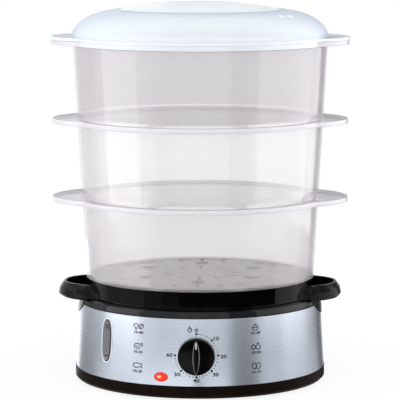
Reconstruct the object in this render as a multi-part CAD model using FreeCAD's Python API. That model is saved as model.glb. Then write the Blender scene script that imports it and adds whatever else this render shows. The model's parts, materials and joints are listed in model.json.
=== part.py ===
import FreeCAD, Part
import math
import os

from FreeCAD import Placement, Rotation, Vector

# Electric food steamer: a round base with a water tank, timer and heater, a drip tray with two
# filler handles, three stacked steaming bowls and a domed lid.
# Millimetres. Z = 0 is the worktop, the axis of the stack is Z, and the control panel faces -Y.

# ------------------------------------------------------------------ fits
LIFT_GAP = 0.4        # sideways, between pieces that lift off one another
SIT_GAP = 0.3         # between fixed pieces whose curved faces lie side by side
SHAFT_GAP = 0.05      # radial, round shafts, screws, studs and stems
SEAL_SQUEEZE = 1.2    # height of a rubber seal once it is clamped

# ------------------------------------------------------------------ base housing
BASE_RADIUS = 124.5
FOOT_HEIGHT = 2.0
BAND_HEIGHT = 12.2
BAND_CHAMFER = 2.4
HOUSING_WALL = 2.4
STEEL_LOCATOR = 2.0
VENT_COUNT = 7
VENT_PITCH = 9.0
VENT_WIDTH = 3.0
VENT_LENGTH = 46.0

# ------------------------------------------------------------------ steel band
STEEL_THICKNESS = 0.6
STEEL_STEP = 0.5
STEEL_HEIGHT = 64.3
STEEL_TAPER = 3.8

# ------------------------------------------------------------------ water tank
TANK_WALL = 2.3
LIP_HEIGHT = 7.5
LIP_WIDTH = 5.9
LIP_ROUND = 3.0
TANK_LOCATOR = 2.8
SHELF_DEPTH = 6.0
PANEL_ROOM = 38.5     # base edge to the wall of the well, room for the timer and its bell
WELL_DRAFT = 1.8
UNDERFLOOR = 19.2     # housing floor to the underside of the tank floor
DIP_HALF_CHORD = 38.8
DIP_DEPTH = 12.0
DIP_BAND = 9.4
DIP_SLOPE = 6.0
DIP_PROUD = 0.9

# ------------------------------------------------------------------ drip tray
TRAY_WALL = 2.2
TRAY_RIM_GAP = 2.0
TRAY_FLARE = 1.2
TRAY_RISE = 17.2      # tray rim above the tank lip
TRAY_FLOOR_RISE = 2.0
TRAY_FALL = 1.5
CHIMNEY_RADIUS = 36.0
CHIMNEY_TAPER = 5.0
CHIMNEY_HEIGHT = 14.0
SCOOP_SETBACK = 32.3   # tray wall to the middle of the scoop
SCOOP_REACH = 60.8
SCOOP_HALF_WIDTH = 57.0
SCOOP_RIM_REACH = 55.6
SCOOP_RIM_HALF_WIDTH = 40.0
SCOOP_RIM_DROP = 5.7   # scoop rim below the tray rim
SCOOP_DEPTH = 11.1
SCOOP_HANG = 2.0       # how much lower the scoop hangs outside the tank lip
SCOOP_TUCK = 1.6       # how far the belly is rounded in underneath
SCOOP_WALL = 2.0
SCOOP_POWER = 2.3
SCOOP_LEAN = 2.0
FILLER_WIDTH = 40.0
FILLER_SLOT = 5.0
FILLER_SETBACK = 16.3  # tray wall to the weir that keeps juice out of the filler

# ------------------------------------------------------------------ bowls
BOWL_NAMES = ("bowl_lower", "bowl_middle", "bowl_upper")
BOWL_HEIGHTS = (79.8, 77.5, 77.9)
RIM_OVERHANGS = (8.5, 4.0, 0.3)
BOWL_SETBACK = 0.4
BOWL_DRAFT = 4.3
NEST_STEP = 0.2
BOWL_WALL = 2.0
BOWL_FLOOR = 2.0
RIM_PLATE = 2.2
RIM_DEPTH = 4.8
RIM_LIP = 1.8
TAB_OVERHANG = 21.0
TAB_RADIUS = 62.0
TAB_BLEND = 12.0
RIB_COUNT = 8
RIB_DEPTH = 3.0
RIB_LENGTH = 12.0
RIB_THICKNESS = 1.8
SLOT_WIDTH = 3.2
SLOT_LENGTH = 14.0
SLOT_RADII = (36.0, 84.0)
SLOT_COUNTS = (12, 24)
EGG_RING = 61.0
EGG_RADIUS = 7.0
EGG_COUNT = 6

# ------------------------------------------------------------------ lid
LID_SKIRT = 4.6
LID_SKIRT_WALL = 1.3
LID_PLATE = 2.2
LID_WALL = 2.0
LID_TAB_OVERHANG = 20.0
LID_CREASE_RADIUS = 84.0
LID_SHOULDER_HEIGHT = 28.6
LID_HEIGHT = 37.3
LID_ROOT_RISE = 0.8
LID_SHOULDER_POWER = 1.85
LID_SHOULDER_STAGES = 4
LID_CROWN_RADIUS = 46.0
VENT_HOLE_RADIUS = 2.6
LID_VENT_RING = 104.0
LID_VENT_ANGLES = (50.0, 58.0)

# ------------------------------------------------------------------ panel, angles from the front, + to +X
KNOB_HEIGHT = 43.7
KNOB_RADIUS = 17.9
KNOB_THICKNESS = 7.0
KNOB_WALL = 2.0
KNOB_CHAMFER = 1.4
KNOB_DRAFT = 0.5
GRIP_HEIGHT = 5.6
GRIP_WIDTH = 8.6
GRIP_END_GAP = 0.8
HUB_RADIUS = 5.4
SHAFT_RADIUS = 3.0
SHAFT_HOLE_GAP = 2.0
BEZEL_RADIUS = 19.0
BEZEL_THICKNESS = 1.3
LAMP_ANGLE = -16.0
LAMP_HEIGHT = 22.4
LAMP_WIDTH = 13.5
LAMP_TALL = 8.6
LAMP_END_RADIUS = 3.0
LAMP_PROUD = 1.6
LAMP_FLANGE = 1.6
GAUGE_ANGLE = -46.0
GAUGE_HEIGHT = 51.4
GAUGE_WIDTH = 15.4
GAUGE_TALL = 43.4
GAUGE_END_RADIUS = 5.8
GAUGE_PROUD = 0.9
GAUGE_FLANGE = 1.5

# ------------------------------------------------------------------ timer
TIMER_RADIUS = 22.5
TIMER_DEPTH = 21.0
TIMER_FRONT_GAP = 2.6
TIMER_SCREW_SPACING = 24.0
TIMER_SCREW_RADIUS = 1.5
TIMER_HEAD_RADIUS = 2.8
TIMER_HEAD_HEIGHT = 1.6
BELL_RADIUS = 19.0
BELL_HEIGHT = 4.6
BELL_WALL = 1.0
BELL_POST_RADIUS = 3.0
BELL_GAP = 1.6
SPADE_WIDTH = 6.3
SPADE_THICKNESS = 0.8
SPADE_LENGTH = 8.0

# ------------------------------------------------------------------ heater
HEATER_RADIUS = 40.0
HEATER_FLANGE = 3.0
HEATER_BODY_RADIUS = 33.4
HEATER_BODY_DEPTH = 8.0
HEATER_HOLE_GAP = 0.8
HEATER_CROWN = 2.5
TUBE_RADIUS = 2.8
TUBE_RING_RADIUS = 18.0
TUBE_OPENING = 50.0
TUBE_TAIL = 3.0
TUBE_TAIL_RADIUS = 1.8
SEAL_WIDTH = 4.4
CLAMP_THICKNESS = 1.5
CLAMP_INNER_RADIUS = 25.0
CLAMP_OUTER_RADIUS = 46.0
CLAMP_RIB = 3.0
STUD_RADIUS = 2.0
STUD_RING_RADIUS = 29.5
STUD_COUNT = 3
NUT_ACROSS = 7.0
NUT_HEIGHT = 3.2
THERMOSTAT_RADIUS = 8.5
THERMOSTAT_HEIGHT = 5.0
FUSE_RADIUS = 2.0
FUSE_LENGTH = 12.0

# ------------------------------------------------------------------ steam ring
STEAM_RING_RADIUS = 54.0
STEAM_RING_HEIGHT = 20.0
STEAM_RING_WALL = 2.0
STEAM_RING_NOTCHES = 6
NOTCH_WIDTH = 14.0
NOTCH_HEIGHT = 4.0

# ------------------------------------------------------------------ feet, screws, cord inlet
FOOT_RADIUS = 8.0
FOOT_SETBACK = 24.5
FOOT_STEM_RADIUS = 2.5
FOOT_STEM_END = 1.6
SCREW_SETBACK = 24.5
SCREW_ANGLES = (60.0, 180.0, 300.0)
SCREW_RADIUS = 1.9
SCREW_HEAD_RADIUS = 3.6
SCREW_HEAD_HEIGHT = 2.6
SCREW_BITE = 14.0
SCREW_REACH = 11.2
POST_RADIUS = 4.6
BOSS_HEIGHT = 8.0
INLET_RADIUS = 3.4
INLET_WALL = 1.1
INLET_FLANGE = 1.2
INLET_FLANGE_STEP = 0.4
INLET_LENGTH = 12.0
TERMINAL_SIZE = (30.0, 16.0, 11.0)
TERMINAL_SETBACK = 14.0
TERMINAL_SCREW_RADIUS = 1.8
LEAD_RADIUS = 1.1
LEAD_BEND = 3.0
LEAD_CLEARANCE = 2.0

# ------------------------------------------------------------------ levels and radii that follow
HOUSING_BOTTOM = FOOT_HEIGHT
HOUSING_FLOOR = HOUSING_BOTTOM + HOUSING_WALL
BAND_TOP = HOUSING_BOTTOM + BAND_HEIGHT
STEEL_RADIUS = BASE_RADIUS - STEEL_STEP
STEEL_TOP = BAND_TOP + STEEL_HEIGHT
LIP_RADIUS = STEEL_RADIUS - STEEL_TAPER
LIP_TOP = STEEL_TOP + LIP_HEIGHT
LIP_INNER = LIP_RADIUS - LIP_WIDTH
SHELF = LIP_TOP - SHELF_DEPTH
WELL_RADIUS = BASE_RADIUS - PANEL_ROOM
CHANNEL_TOP = SHELF - TANK_WALL
WELL_UNDERSIDE = HOUSING_FLOOR + UNDERFLOOR
WELL_FLOOR = WELL_UNDERSIDE + TANK_WALL
TRAY_RADIUS = LIP_INNER - TRAY_RIM_GAP
TRAY_TOP = LIP_TOP + TRAY_RISE
TRAY_RIM_RADIUS = TRAY_RADIUS + TRAY_FLARE
FILLER_WEIR = TRAY_RADIUS - FILLER_SETBACK
SCOOP_CENTRE = TRAY_RADIUS - SCOOP_SETBACK
FOOT_RING_RADIUS = BASE_RADIUS - FOOT_SETBACK
SCREW_RING_RADIUS = BASE_RADIUS - SCREW_SETBACK
SCOOP_RIM = TRAY_TOP - SCOOP_RIM_DROP
STEAM_TOP = TRAY_TOP + sum(BOWL_HEIGHTS)
FULL_TURN = 360.0


# ------------------------------------------------------------------ shape helpers
def profile_face(points):
    """Face from (r, z) points; a point written (mid, end) is the end of an arc through mid."""
    edges = []
    start = Vector(points[0][0], 0, points[0][1])
    first = start
    for point in points[1:] + [points[0]]:
        if isinstance(point[0], tuple):
            middle = Vector(point[0][0], 0, point[0][1])
            end = Vector(point[1][0], 0, point[1][1])
            edges.append(Part.Arc(start, middle, end).toShape())
        else:
            end = Vector(point[0], 0, point[1])
            if end.distanceToPoint(start) > 1e-7:
                edges.append(Part.LineSegment(start, end).toShape())
        start = end
    if start.distanceToPoint(first) > 1e-7:
        edges.append(Part.LineSegment(start, first).toShape())
    return Part.Face(Part.Wire(edges))


def turned(points):
    """Solid of revolution about the stack's axis."""
    return profile_face(points).revolve(Vector(0, 0, 0), Vector(0, 0, 1), FULL_TURN)


def cylinder(radius, low, high, x=0.0, y=0.0):
    return Part.makeCylinder(radius, high - low, Vector(x, y, low))


def tube_ring(inner, outer, low, high):
    return turned([(inner, low), (outer, low), (outer, high), (inner, high)])


def block(x, y, z, low_corner):
    return Part.makeBox(x, y, z, Vector(*low_corner))


def polar(radius, degrees, z=0.0):
    turn = math.radians(degrees)
    return Vector(radius * math.cos(turn), radius * math.sin(turn), z)


def spun(shape, degrees):
    copy = shape.copy()
    copy.rotate(Vector(0, 0, 0), Vector(0, 0, 1), degrees)
    return copy


def ring_of(shape, count, first=0.0):
    """Copies of a shape, evenly spaced round the stack's axis."""
    return [spun(shape, first + FULL_TURN * i / count) for i in range(count)]


def fused(shapes):
    whole = shapes[0].multiFuse(shapes[1:]) if len(shapes) > 1 else shapes[0]
    return whole.removeSplitter()


def facing_out(shape, degrees_from_front, height):
    """Places a shape made with local X to the right, Y up and Z outwards on the panel's axis."""
    upright = Placement(Vector(0, 0, height), Rotation(Vector(1, 0, 0), 90))
    swing = Placement(Vector(0, 0, 0), Rotation(Vector(0, 0, 1), degrees_from_front))
    copy = shape.copy()
    copy.Placement = swing.multiply(upright)
    return copy


def superellipse_face(half_width, half_height, power, z=0.0, x=0.0, count=28):
    """|x/a|^n + |y/b|^n = 1 as one closed spline."""
    points = []
    for i in range(count):
        turn = 2 * math.pi * i / count
        c = math.cos(turn)
        s = math.sin(turn)
        px = half_width * math.copysign(abs(c) ** (2 / power), c)
        py = half_height * math.copysign(abs(s) ** (2 / power), s)
        points.append(Vector(x + px, py, z))
    curve = Part.BSplineCurve()
    curve.interpolate(points, PeriodicFlag=True)
    return Part.Face(Part.Wire(curve.toShape()))


def oval_prism(width, height, end_radius, low, high, grow=0.0):
    """Prism on an oval of four tangent arcs, small ones at its two ends and large ones along its sides."""
    long_half = max(width, height) / 2
    short_half = min(width, height) / 2
    end_centre = long_half - end_radius
    side_radius = (short_half**2 + end_centre**2 - end_radius**2) / (2 * (short_half - end_radius))
    side_centre = side_radius - short_half
    reach = (side_radius + grow) / (side_radius - end_radius)
    join = (end_centre * reach, side_centre * reach - side_centre)
    tips = (long_half + grow, short_half + grow)

    def corner(x, y):
        """Point of the oval, with its long axis along the larger size."""
        return Vector(x, y, low) if width > height else Vector(y, x, low)

    edges = []
    for side in (-1, 1):
        edges.append(
            Part.Arc(
                corner(side * join[0], -join[1]), corner(side * tips[0], 0), corner(side * join[0], join[1])
            ).toShape()
        )
        edges.append(
            Part.Arc(
                corner(-join[0], side * join[1]), corner(0, side * tips[1]), corner(join[0], side * join[1])
            ).toShape()
        )
    wire = Part.Wire(Part.__sortEdges__(edges))
    return Part.Face(wire).extrude(Vector(0, 0, high - low))


def lamp_prism(grow=0.0):
    """Oval prism through the panel at the lamp."""
    prism = oval_prism(LAMP_WIDTH, LAMP_TALL, LAMP_END_RADIUS, WELL_RADIUS, BASE_RADIUS * 2, grow)
    return facing_out(prism, LAMP_ANGLE, LAMP_HEIGHT)


def gauge_prism(grow=0.0):
    """Oval prism through the panel at the level window."""
    prism = oval_prism(GAUGE_WIDTH, GAUGE_TALL, GAUGE_END_RADIUS, WELL_RADIUS, BASE_RADIUS * 2, grow)
    return facing_out(prism, GAUGE_ANGLE, GAUGE_HEIGHT)


def bent_tube(points, radius, bend):
    """Tube along straight runs joined by tangent arcs."""
    edges = []
    start = Vector(*points[0])
    for before, corner, after in zip(points, points[1:], points[2:]):
        corner = Vector(*corner)
        back = (Vector(*before) - corner).normalize()
        ahead = (Vector(*after) - corner).normalize()
        half = back.getAngle(ahead) / 2
        trim = bend / math.tan(half)
        into = corner + back * trim
        out = corner + ahead * trim
        bisector = (back + ahead).normalize()
        middle = corner + bisector * (bend / math.sin(half) - bend)
        edges.append(Part.LineSegment(start, into).toShape())
        edges.append(Part.Arc(into, middle, out).toShape())
        start = out
    edges.append(Part.LineSegment(start, Vector(*points[-1])).toShape())
    spine = Part.Wire(edges)
    along = (Vector(*points[1]) - Vector(*points[0])).normalize()
    section = Part.Wire(Part.Circle(Vector(*points[0]), along, radius).toShape())
    return spine.makePipeShell([section], True, False)


# ------------------------------------------------------------------ steel band and what follows its surface
def steel_radius(z):
    """Outer radius of the band, a straight taper."""
    return STEEL_RADIUS - STEEL_TAPER * (z - BAND_TOP) / STEEL_HEIGHT


def steel_layer(inner, outer, low=BAND_TOP, high=STEEL_TOP):
    """Solid between two surfaces that lie the given distances outside the steel's outer face."""
    return turned(
        [
            (steel_radius(low) + outer, low),
            (steel_radius(high) + outer, high),
            (steel_radius(high) + inner, high),
            (steel_radius(low) + inner, low),
        ]
    )


def dip_radius():
    return (DIP_HALF_CHORD**2 + DIP_DEPTH**2) / (2 * DIP_DEPTH)


def dip_centre():
    return STEEL_TOP - DIP_DEPTH + dip_radius()


def dip_cutter(radius, side):
    """Cylinder lying along X that scoops the lip under one handle."""
    return Part.makeCylinder(
        radius, BASE_RADIUS, Vector(side * WELL_RADIUS, 0, dip_centre()), Vector(side, 0, 0)
    )


def dip_cone(side):
    """Cone that gives the dip its surface, sloping down and outwards."""
    inner_x = TRAY_RADIUS + SIT_GAP
    outer_x = STEEL_RADIUS
    inner = dip_radius() - DIP_BAND - DIP_SLOPE / 2
    outer = inner + DIP_SLOPE
    return Part.makeCone(
        inner, outer, outer_x - inner_x, Vector(side * inner_x, 0, dip_centre()), Vector(side, 0, 0)
    )


def steel_cut_radius():
    return dip_radius() - DIP_PROUD * 3


def panel_holes():
    """Prisms through the panel for the shaft, the lamp, the gauge and the timer screws."""
    shaft = cylinder(SHAFT_RADIUS + SHAFT_HOLE_GAP, WELL_RADIUS, BASE_RADIUS * 2)
    holes = [facing_out(shaft, 0, KNOB_HEIGHT), lamp_prism(SIT_GAP), gauge_prism(SIT_GAP)]
    for side in (-1, 1):
        x = side * TIMER_SCREW_SPACING / 2
        hole = cylinder(TIMER_SCREW_RADIUS + SIT_GAP, WELL_RADIUS, BASE_RADIUS * 2, x)
        holes.append(facing_out(hole, 0, KNOB_HEIGHT))
    return holes


def steel_band():
    band = steel_layer(-STEEL_THICKNESS, 0)
    cutters = [dip_cutter(steel_cut_radius(), side) for side in (-1, 1)]
    return band.cut(cutters + panel_holes())


def water_tank():
    locator_radius = steel_radius(STEEL_TOP) - STEEL_THICKNESS - SIT_GAP
    locator_inner = locator_radius - TANK_WALL
    locator_bottom = STEEL_TOP - TANK_LOCATOR
    half_round = LIP_ROUND / 3
    body = turned(
        [
            (LIP_INNER, SHELF),
            (LIP_INNER, LIP_TOP),
            (LIP_RADIUS - LIP_ROUND, LIP_TOP),
            (LIP_RADIUS - half_round, LIP_TOP - half_round),
            (LIP_RADIUS, LIP_TOP - LIP_ROUND),
            (LIP_RADIUS, STEEL_TOP),
            (locator_radius, STEEL_TOP),
            (locator_radius, locator_bottom),
            (locator_inner, locator_bottom),
            (locator_inner, SHELF - TANK_WALL),
            (WELL_RADIUS + TANK_WALL, SHELF - TANK_WALL),
            (WELL_RADIUS - WELL_DRAFT + TANK_WALL, WELL_UNDERSIDE),
            (HEATER_BODY_RADIUS + HEATER_HOLE_GAP, WELL_UNDERSIDE),
            (HEATER_BODY_RADIUS + HEATER_HOLE_GAP, WELL_FLOOR),
            (WELL_RADIUS - WELL_DRAFT, WELL_FLOOR),
            (WELL_RADIUS, SHELF),
        ]
    )
    clamp_rib = tube_ring(
        CLAMP_OUTER_RADIUS - TANK_WALL, CLAMP_OUTER_RADIUS, WELL_UNDERSIDE - CLAMP_RIB, WELL_UNDERSIDE
    )
    post_bottom = HOUSING_FLOOR + BOSS_HEIGHT
    posts = []
    for angle in SCREW_ANGLES:
        spot = polar(SCREW_RING_RADIUS, angle)
        post = cylinder(POST_RADIUS, post_bottom, SHELF - TANK_WALL / 2, spot.x, spot.y)
        posts.append(post)
    tank = fused([body, clamp_rib, gauge_channel()] + dip_bands() + posts)
    for side in (-1, 1):
        tank = tank.cut(dip_cone(side))
    pilots = []
    for angle in SCREW_ANGLES:
        spot = polar(SCREW_RING_RADIUS, angle)
        pilots.append(
            cylinder(SCREW_RADIUS + SHAFT_GAP, post_bottom, post_bottom + SCREW_BITE, spot.x, spot.y)
        )
    return tank.cut(pilots + [gauge_hollow()]).removeSplitter()


def dip_bands():
    """The two stretches of lip that dip over the steel under the handles."""
    low = STEEL_TOP - DIP_DEPTH
    outside = steel_layer(-LIP_WIDTH, DIP_PROUD, low, LIP_TOP - LIP_ROUND)
    room_for_steel = steel_layer(-STEEL_THICKNESS - SIT_GAP, SIT_GAP / 2, BAND_TOP, STEEL_TOP)
    bands = []
    for side in (-1, 1):
        steel_room = room_for_steel.cut(dip_cutter(steel_cut_radius() - SIT_GAP, side))
        band = outside.common(dip_cutter(dip_radius(), side))
        bands.append(band.cut(steel_room).cut(cylinder(LIP_INNER, low - 1, SHELF - TANK_WALL)))
    return bands


def gauge_channel():
    """Walled channel from the well to the level window."""
    width = GAUGE_WIDTH + 2 * TANK_WALL
    height = CHANNEL_TOP - WELL_UNDERSIDE
    prism = block(width, height, BASE_RADIUS, (-width / 2, 0, 0))
    prism = facing_out(prism, GAUGE_ANGLE, WELL_UNDERSIDE)
    end_face = -STEEL_THICKNESS - SIT_GAP - GAUGE_FLANGE - SEAL_SQUEEZE
    reach = steel_layer(-BASE_RADIUS / 3, end_face, BAND_TOP, STEEL_TOP)
    return prism.common(reach).cut(turned(
        [(0, 0), (WELL_RADIUS - WELL_DRAFT, 0), (WELL_RADIUS, SHELF), (0, SHELF)]
    ))


def gauge_hollow():
    """Water's way through the channel, an oval port that shows through the window."""
    start = WELL_RADIUS - 2 * WELL_DRAFT - TANK_WALL
    port = oval_prism(GAUGE_WIDTH, GAUGE_TALL, GAUGE_END_RADIUS, start, BASE_RADIUS, -TANK_WALL / 2)
    return facing_out(port, GAUGE_ANGLE, GAUGE_HEIGHT)


def gauge_window():
    back = -STEEL_THICKNESS - SIT_GAP
    lens = gauge_prism().common(steel_layer(back - GAUGE_FLANGE, GAUGE_PROUD))
    flange = gauge_prism(TANK_WALL).common(steel_layer(back - GAUGE_FLANGE, back))
    return fused([lens, flange])


def gauge_seal():
    """Ring of rubber between the window's flange and the end of the channel."""
    outer = -STEEL_THICKNESS - SIT_GAP - GAUGE_FLANGE
    ring = gauge_prism(TANK_WALL).common(steel_layer(outer - SEAL_SQUEEZE, outer))
    return ring.cut(gauge_hollow())


# ------------------------------------------------------------------ base housing and its fasteners
def base_housing():
    wall_top = BAND_TOP + STEEL_LOCATOR
    locator = steel_radius(wall_top) - STEEL_THICKNESS - SIT_GAP
    inner = locator - HOUSING_WALL
    shell = turned(
        [
            (0, HOUSING_BOTTOM),
            (BASE_RADIUS - BAND_CHAMFER, HOUSING_BOTTOM),
            (BASE_RADIUS, HOUSING_BOTTOM + BAND_CHAMFER),
            (BASE_RADIUS, BAND_TOP),
            (locator, BAND_TOP),
            (locator, wall_top),
            (inner, wall_top),
            (inner, HOUSING_FLOOR),
            (0, HOUSING_FLOOR),
        ]
    )
    bosses = []
    cuts = []
    head_well = HOUSING_BOTTOM + HOUSING_WALL + SCREW_HEAD_HEIGHT
    for angle in SCREW_ANGLES:
        spot = polar(SCREW_RING_RADIUS, angle)
        top = HOUSING_FLOOR + BOSS_HEIGHT
        bosses.append(cylinder(POST_RADIUS + HOUSING_WALL, HOUSING_BOTTOM, top, spot.x, spot.y))
        cuts.append(cylinder(SCREW_HEAD_RADIUS + SIT_GAP, HOUSING_BOTTOM, head_well, spot.x, spot.y))
        cuts.append(cylinder(SCREW_RADIUS + SHAFT_GAP, head_well, top, spot.x, spot.y))
    for spot in foot_spots():
        cuts.append(cylinder(FOOT_STEM_RADIUS + SHAFT_GAP, 0, HOUSING_FLOOR + 1, spot.x, spot.y))
    for i in range(VENT_COUNT):
        x = (i - (VENT_COUNT - 1) / 2) * VENT_PITCH
        cuts.append(block(VENT_WIDTH, VENT_LENGTH, HOUSING_WALL + 2,
                          (x - VENT_WIDTH / 2, -VENT_LENGTH / 2, HOUSING_BOTTOM - 1)))
    cuts.append(inlet_prism(INLET_RADIUS + INLET_WALL))
    return fused([shell] + bosses).cut(cuts)


def inlet_height():
    return HOUSING_FLOOR + SIT_GAP + INLET_RADIUS + INLET_WALL


def inlet_prism(radius, length=INLET_LENGTH + INLET_FLANGE, outer=BASE_RADIUS + INLET_FLANGE):
    """Cylinder along Y through the rear of the housing band."""
    return Part.makeCylinder(radius, length, Vector(0, outer - length, inlet_height()), Vector(0, 1, 0))


def cord_gland():
    flange = inlet_prism(INLET_RADIUS + INLET_WALL + INLET_FLANGE_STEP, INLET_FLANGE)
    neck = inlet_prism(INLET_RADIUS + INLET_WALL)
    return fused([neck, flange]).cut(inlet_prism(INLET_RADIUS))


def foot_spots():
    return [polar(FOOT_RING_RADIUS, 45 + 90 * i) for i in range(4)]


def rubber_feet():
    feet = []
    for spot in foot_spots():
        pad = cylinder(FOOT_RADIUS, 0, FOOT_HEIGHT, spot.x, spot.y)
        stem = cylinder(FOOT_STEM_RADIUS, FOOT_HEIGHT, HOUSING_FLOOR + FOOT_STEM_END, spot.x, spot.y)
        feet.append(fused([pad, stem]))
    return Part.makeCompound(feet)


def housing_screws():
    screws = []
    seat = HOUSING_BOTTOM + HOUSING_WALL + SCREW_HEAD_HEIGHT
    tip = HOUSING_FLOOR + BOSS_HEIGHT + SCREW_REACH
    for angle in SCREW_ANGLES:
        spot = polar(SCREW_RING_RADIUS, angle)
        head = cylinder(SCREW_HEAD_RADIUS, seat - SCREW_HEAD_HEIGHT, seat, spot.x, spot.y)
        shank = cylinder(SCREW_RADIUS, seat, tip, spot.x, spot.y)
        screws.append(fused([head, shank]))
    return Part.makeCompound(screws)


# ------------------------------------------------------------------ panel parts
def pilot_lens():
    back = -STEEL_THICKNESS - SIT_GAP
    body = fused(
        [
            lamp_prism().common(steel_layer(back - LAMP_FLANGE, LAMP_PROUD)),
            lamp_prism(LAMP_FLANGE).common(steel_layer(back - LAMP_FLANGE, back)),
        ]
    )
    return body.cut(lamp_body(SIT_GAP))


def lamp_body(grow):
    """Neon lamp that stands in the back of its lens."""
    radius = LAMP_TALL / 4 + grow
    front = steel_radius(LAMP_HEIGHT) - STEEL_THICKNESS
    glass = cylinder(radius, front - 3 * LAMP_TALL / 2, front + grow)
    return facing_out(glass, LAMP_ANGLE, LAMP_HEIGHT)


def bezel_front():
    return steel_radius(KNOB_HEIGHT) + BEZEL_THICKNESS


def timer_front():
    """Distance from the axis of the timer's front plate."""
    return steel_radius(KNOB_HEIGHT) - STEEL_THICKNESS - TIMER_FRONT_GAP


def dial_bezel():
    """Bright disc between the knob and the steel, with a back that follows the steel."""
    disc = facing_out(cylinder(BEZEL_RADIUS, WELL_RADIUS, bezel_front()), 0, KNOB_HEIGHT)
    disc = disc.cut(steel_layer(-WELL_RADIUS, SHAFT_GAP))
    heads = bezel_front() - TIMER_HEAD_HEIGHT / 2
    holes = [facing_out(cylinder(SHAFT_RADIUS + SHAFT_HOLE_GAP, 0, BASE_RADIUS * 2), 0, KNOB_HEIGHT)]
    for side in (-1, 1):
        x = side * TIMER_SCREW_SPACING / 2
        holes.append(facing_out(cylinder(TIMER_HEAD_RADIUS + SIT_GAP, heads, bezel_front() + 1, x), 0, KNOB_HEIGHT))
        holes.append(facing_out(cylinder(TIMER_SCREW_RADIUS + SIT_GAP, 0, bezel_front(), x), 0, KNOB_HEIGHT))
    return disc.cut(holes)


def timer_screws():
    screws = []
    seat = bezel_front() - TIMER_HEAD_HEIGHT / 2
    for side in (-1, 1):
        x = side * TIMER_SCREW_SPACING / 2
        head = cylinder(TIMER_HEAD_RADIUS, seat, seat + TIMER_HEAD_HEIGHT / 2, x)
        shank = cylinder(TIMER_SCREW_RADIUS, timer_front() - TIMER_DEPTH / 3, seat, x)
        screws.append(facing_out(fused([head, shank]), 0, KNOB_HEIGHT))
    return Part.makeCompound(screws)


def timer_case():
    front = timer_front()
    back = front - TIMER_DEPTH
    case = cylinder(TIMER_RADIUS, back, front)
    pads = []
    pad_front = steel_pad_front()
    cuts = [cylinder(SHAFT_RADIUS + SHAFT_GAP, back + TIMER_DEPTH / 3, front + 1)]
    for side in (-1, 1):
        x = side * TIMER_SCREW_SPACING / 2
        pads.append(cylinder(TIMER_SCREW_RADIUS + TANK_WALL, front, pad_front, x))
        cuts.append(cylinder(TIMER_SCREW_RADIUS + SHAFT_GAP, front - TIMER_DEPTH / 2, pad_front + 1, x))
    post = cylinder(BELL_POST_RADIUS, back - BELL_GAP - BELL_WALL, back)
    return facing_out(fused([case, post] + pads).cut(cuts), 0, KNOB_HEIGHT)


def steel_pad_front():
    """Where the timer's two screw pads meet the back of the curved steel."""
    outer = TIMER_SCREW_SPACING / 2 + TIMER_SCREW_RADIUS + TANK_WALL
    low_radius = steel_radius(KNOB_HEIGHT + TIMER_SCREW_RADIUS + TANK_WALL)
    inside = low_radius - STEEL_THICKNESS - SHAFT_GAP
    return math.sqrt(inside**2 - outer**2)


def timer_bell():
    """Shallow gong on the post behind the timer."""
    back = timer_front() - TIMER_DEPTH
    rim = back - BELL_GAP
    dish = cylinder(BELL_RADIUS, rim - BELL_WALL, rim)
    skirt = cylinder(BELL_RADIUS, rim, rim + BELL_WALL / 2).cut(
        cylinder(BELL_RADIUS - BELL_WALL, rim, rim + BELL_WALL)
    )
    hole = cylinder(BELL_POST_RADIUS + SHAFT_GAP, rim - BELL_HEIGHT, rim + BELL_HEIGHT)
    return facing_out(fused([dish, skirt]).cut(hole), 0, KNOB_HEIGHT)


def spade(x, low_z, y):
    """Flat tab terminal in the XZ plane."""
    return block(SPADE_WIDTH, SPADE_THICKNESS, SPADE_LENGTH, (x - SPADE_WIDTH / 2, y, low_z))


def timer_terminals():
    """Two tabs under the timer case."""
    y = -(timer_front() - TIMER_DEPTH / 2)
    tabs = []
    for side in (-1, 1):
        x = side * TIMER_SCREW_SPACING / 3
        tabs.append(spade(x, timer_tab_bottom(), y).cut(timer_case()))
    return Part.makeCompound(tabs)


# ------------------------------------------------------------------ knob
def knob_back():
    return bezel_front() + SIT_GAP


def timer_knob():
    back = knob_back()
    front = back + KNOB_THICKNESS
    disc = turned(
        [(0, back), (KNOB_RADIUS, back), (KNOB_RADIUS - KNOB_DRAFT, front - KNOB_CHAMFER),
         (KNOB_RADIUS - KNOB_DRAFT - KNOB_CHAMFER, front), (0, front)]
    )
    hollow = cylinder(KNOB_RADIUS - KNOB_DRAFT - KNOB_WALL, back - 1, front - KNOB_WALL)
    hub = cylinder(HUB_RADIUS, back, front - KNOB_WALL)
    half_length = KNOB_RADIUS - GRIP_END_GAP
    half_width = GRIP_WIDTH / 2
    curve = (half_length**2 + half_width**2) / (2 * half_width)
    offset = curve - half_width
    top = front + GRIP_HEIGHT
    base = front - KNOB_WALL
    grip = Part.makeCone(curve + 1, curve, top - base, Vector(-offset, 0, base)).common(
        Part.makeCone(curve + 1, curve, top - base, Vector(offset, 0, base))
    )
    grip = grip.common(cylinder(KNOB_RADIUS - KNOB_DRAFT - KNOB_CHAMFER, base, top))
    knob = fused([disc.cut(hollow), hub, grip])
    knob = knob.cut(cylinder(SHAFT_RADIUS + SHAFT_GAP, back - 1, front - KNOB_WALL))
    return facing_out(knob, 0, KNOB_HEIGHT)


def timer_shaft():
    low = timer_front() - TIMER_DEPTH * 2 / 3 + SIT_GAP
    high = knob_back() + KNOB_THICKNESS - KNOB_WALL
    return facing_out(cylinder(SHAFT_RADIUS, low, high), 0, KNOB_HEIGHT)


# ------------------------------------------------------------------ heater
def heater_top():
    return WELL_FLOOR + SEAL_SQUEEZE + HEATER_FLANGE


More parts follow.
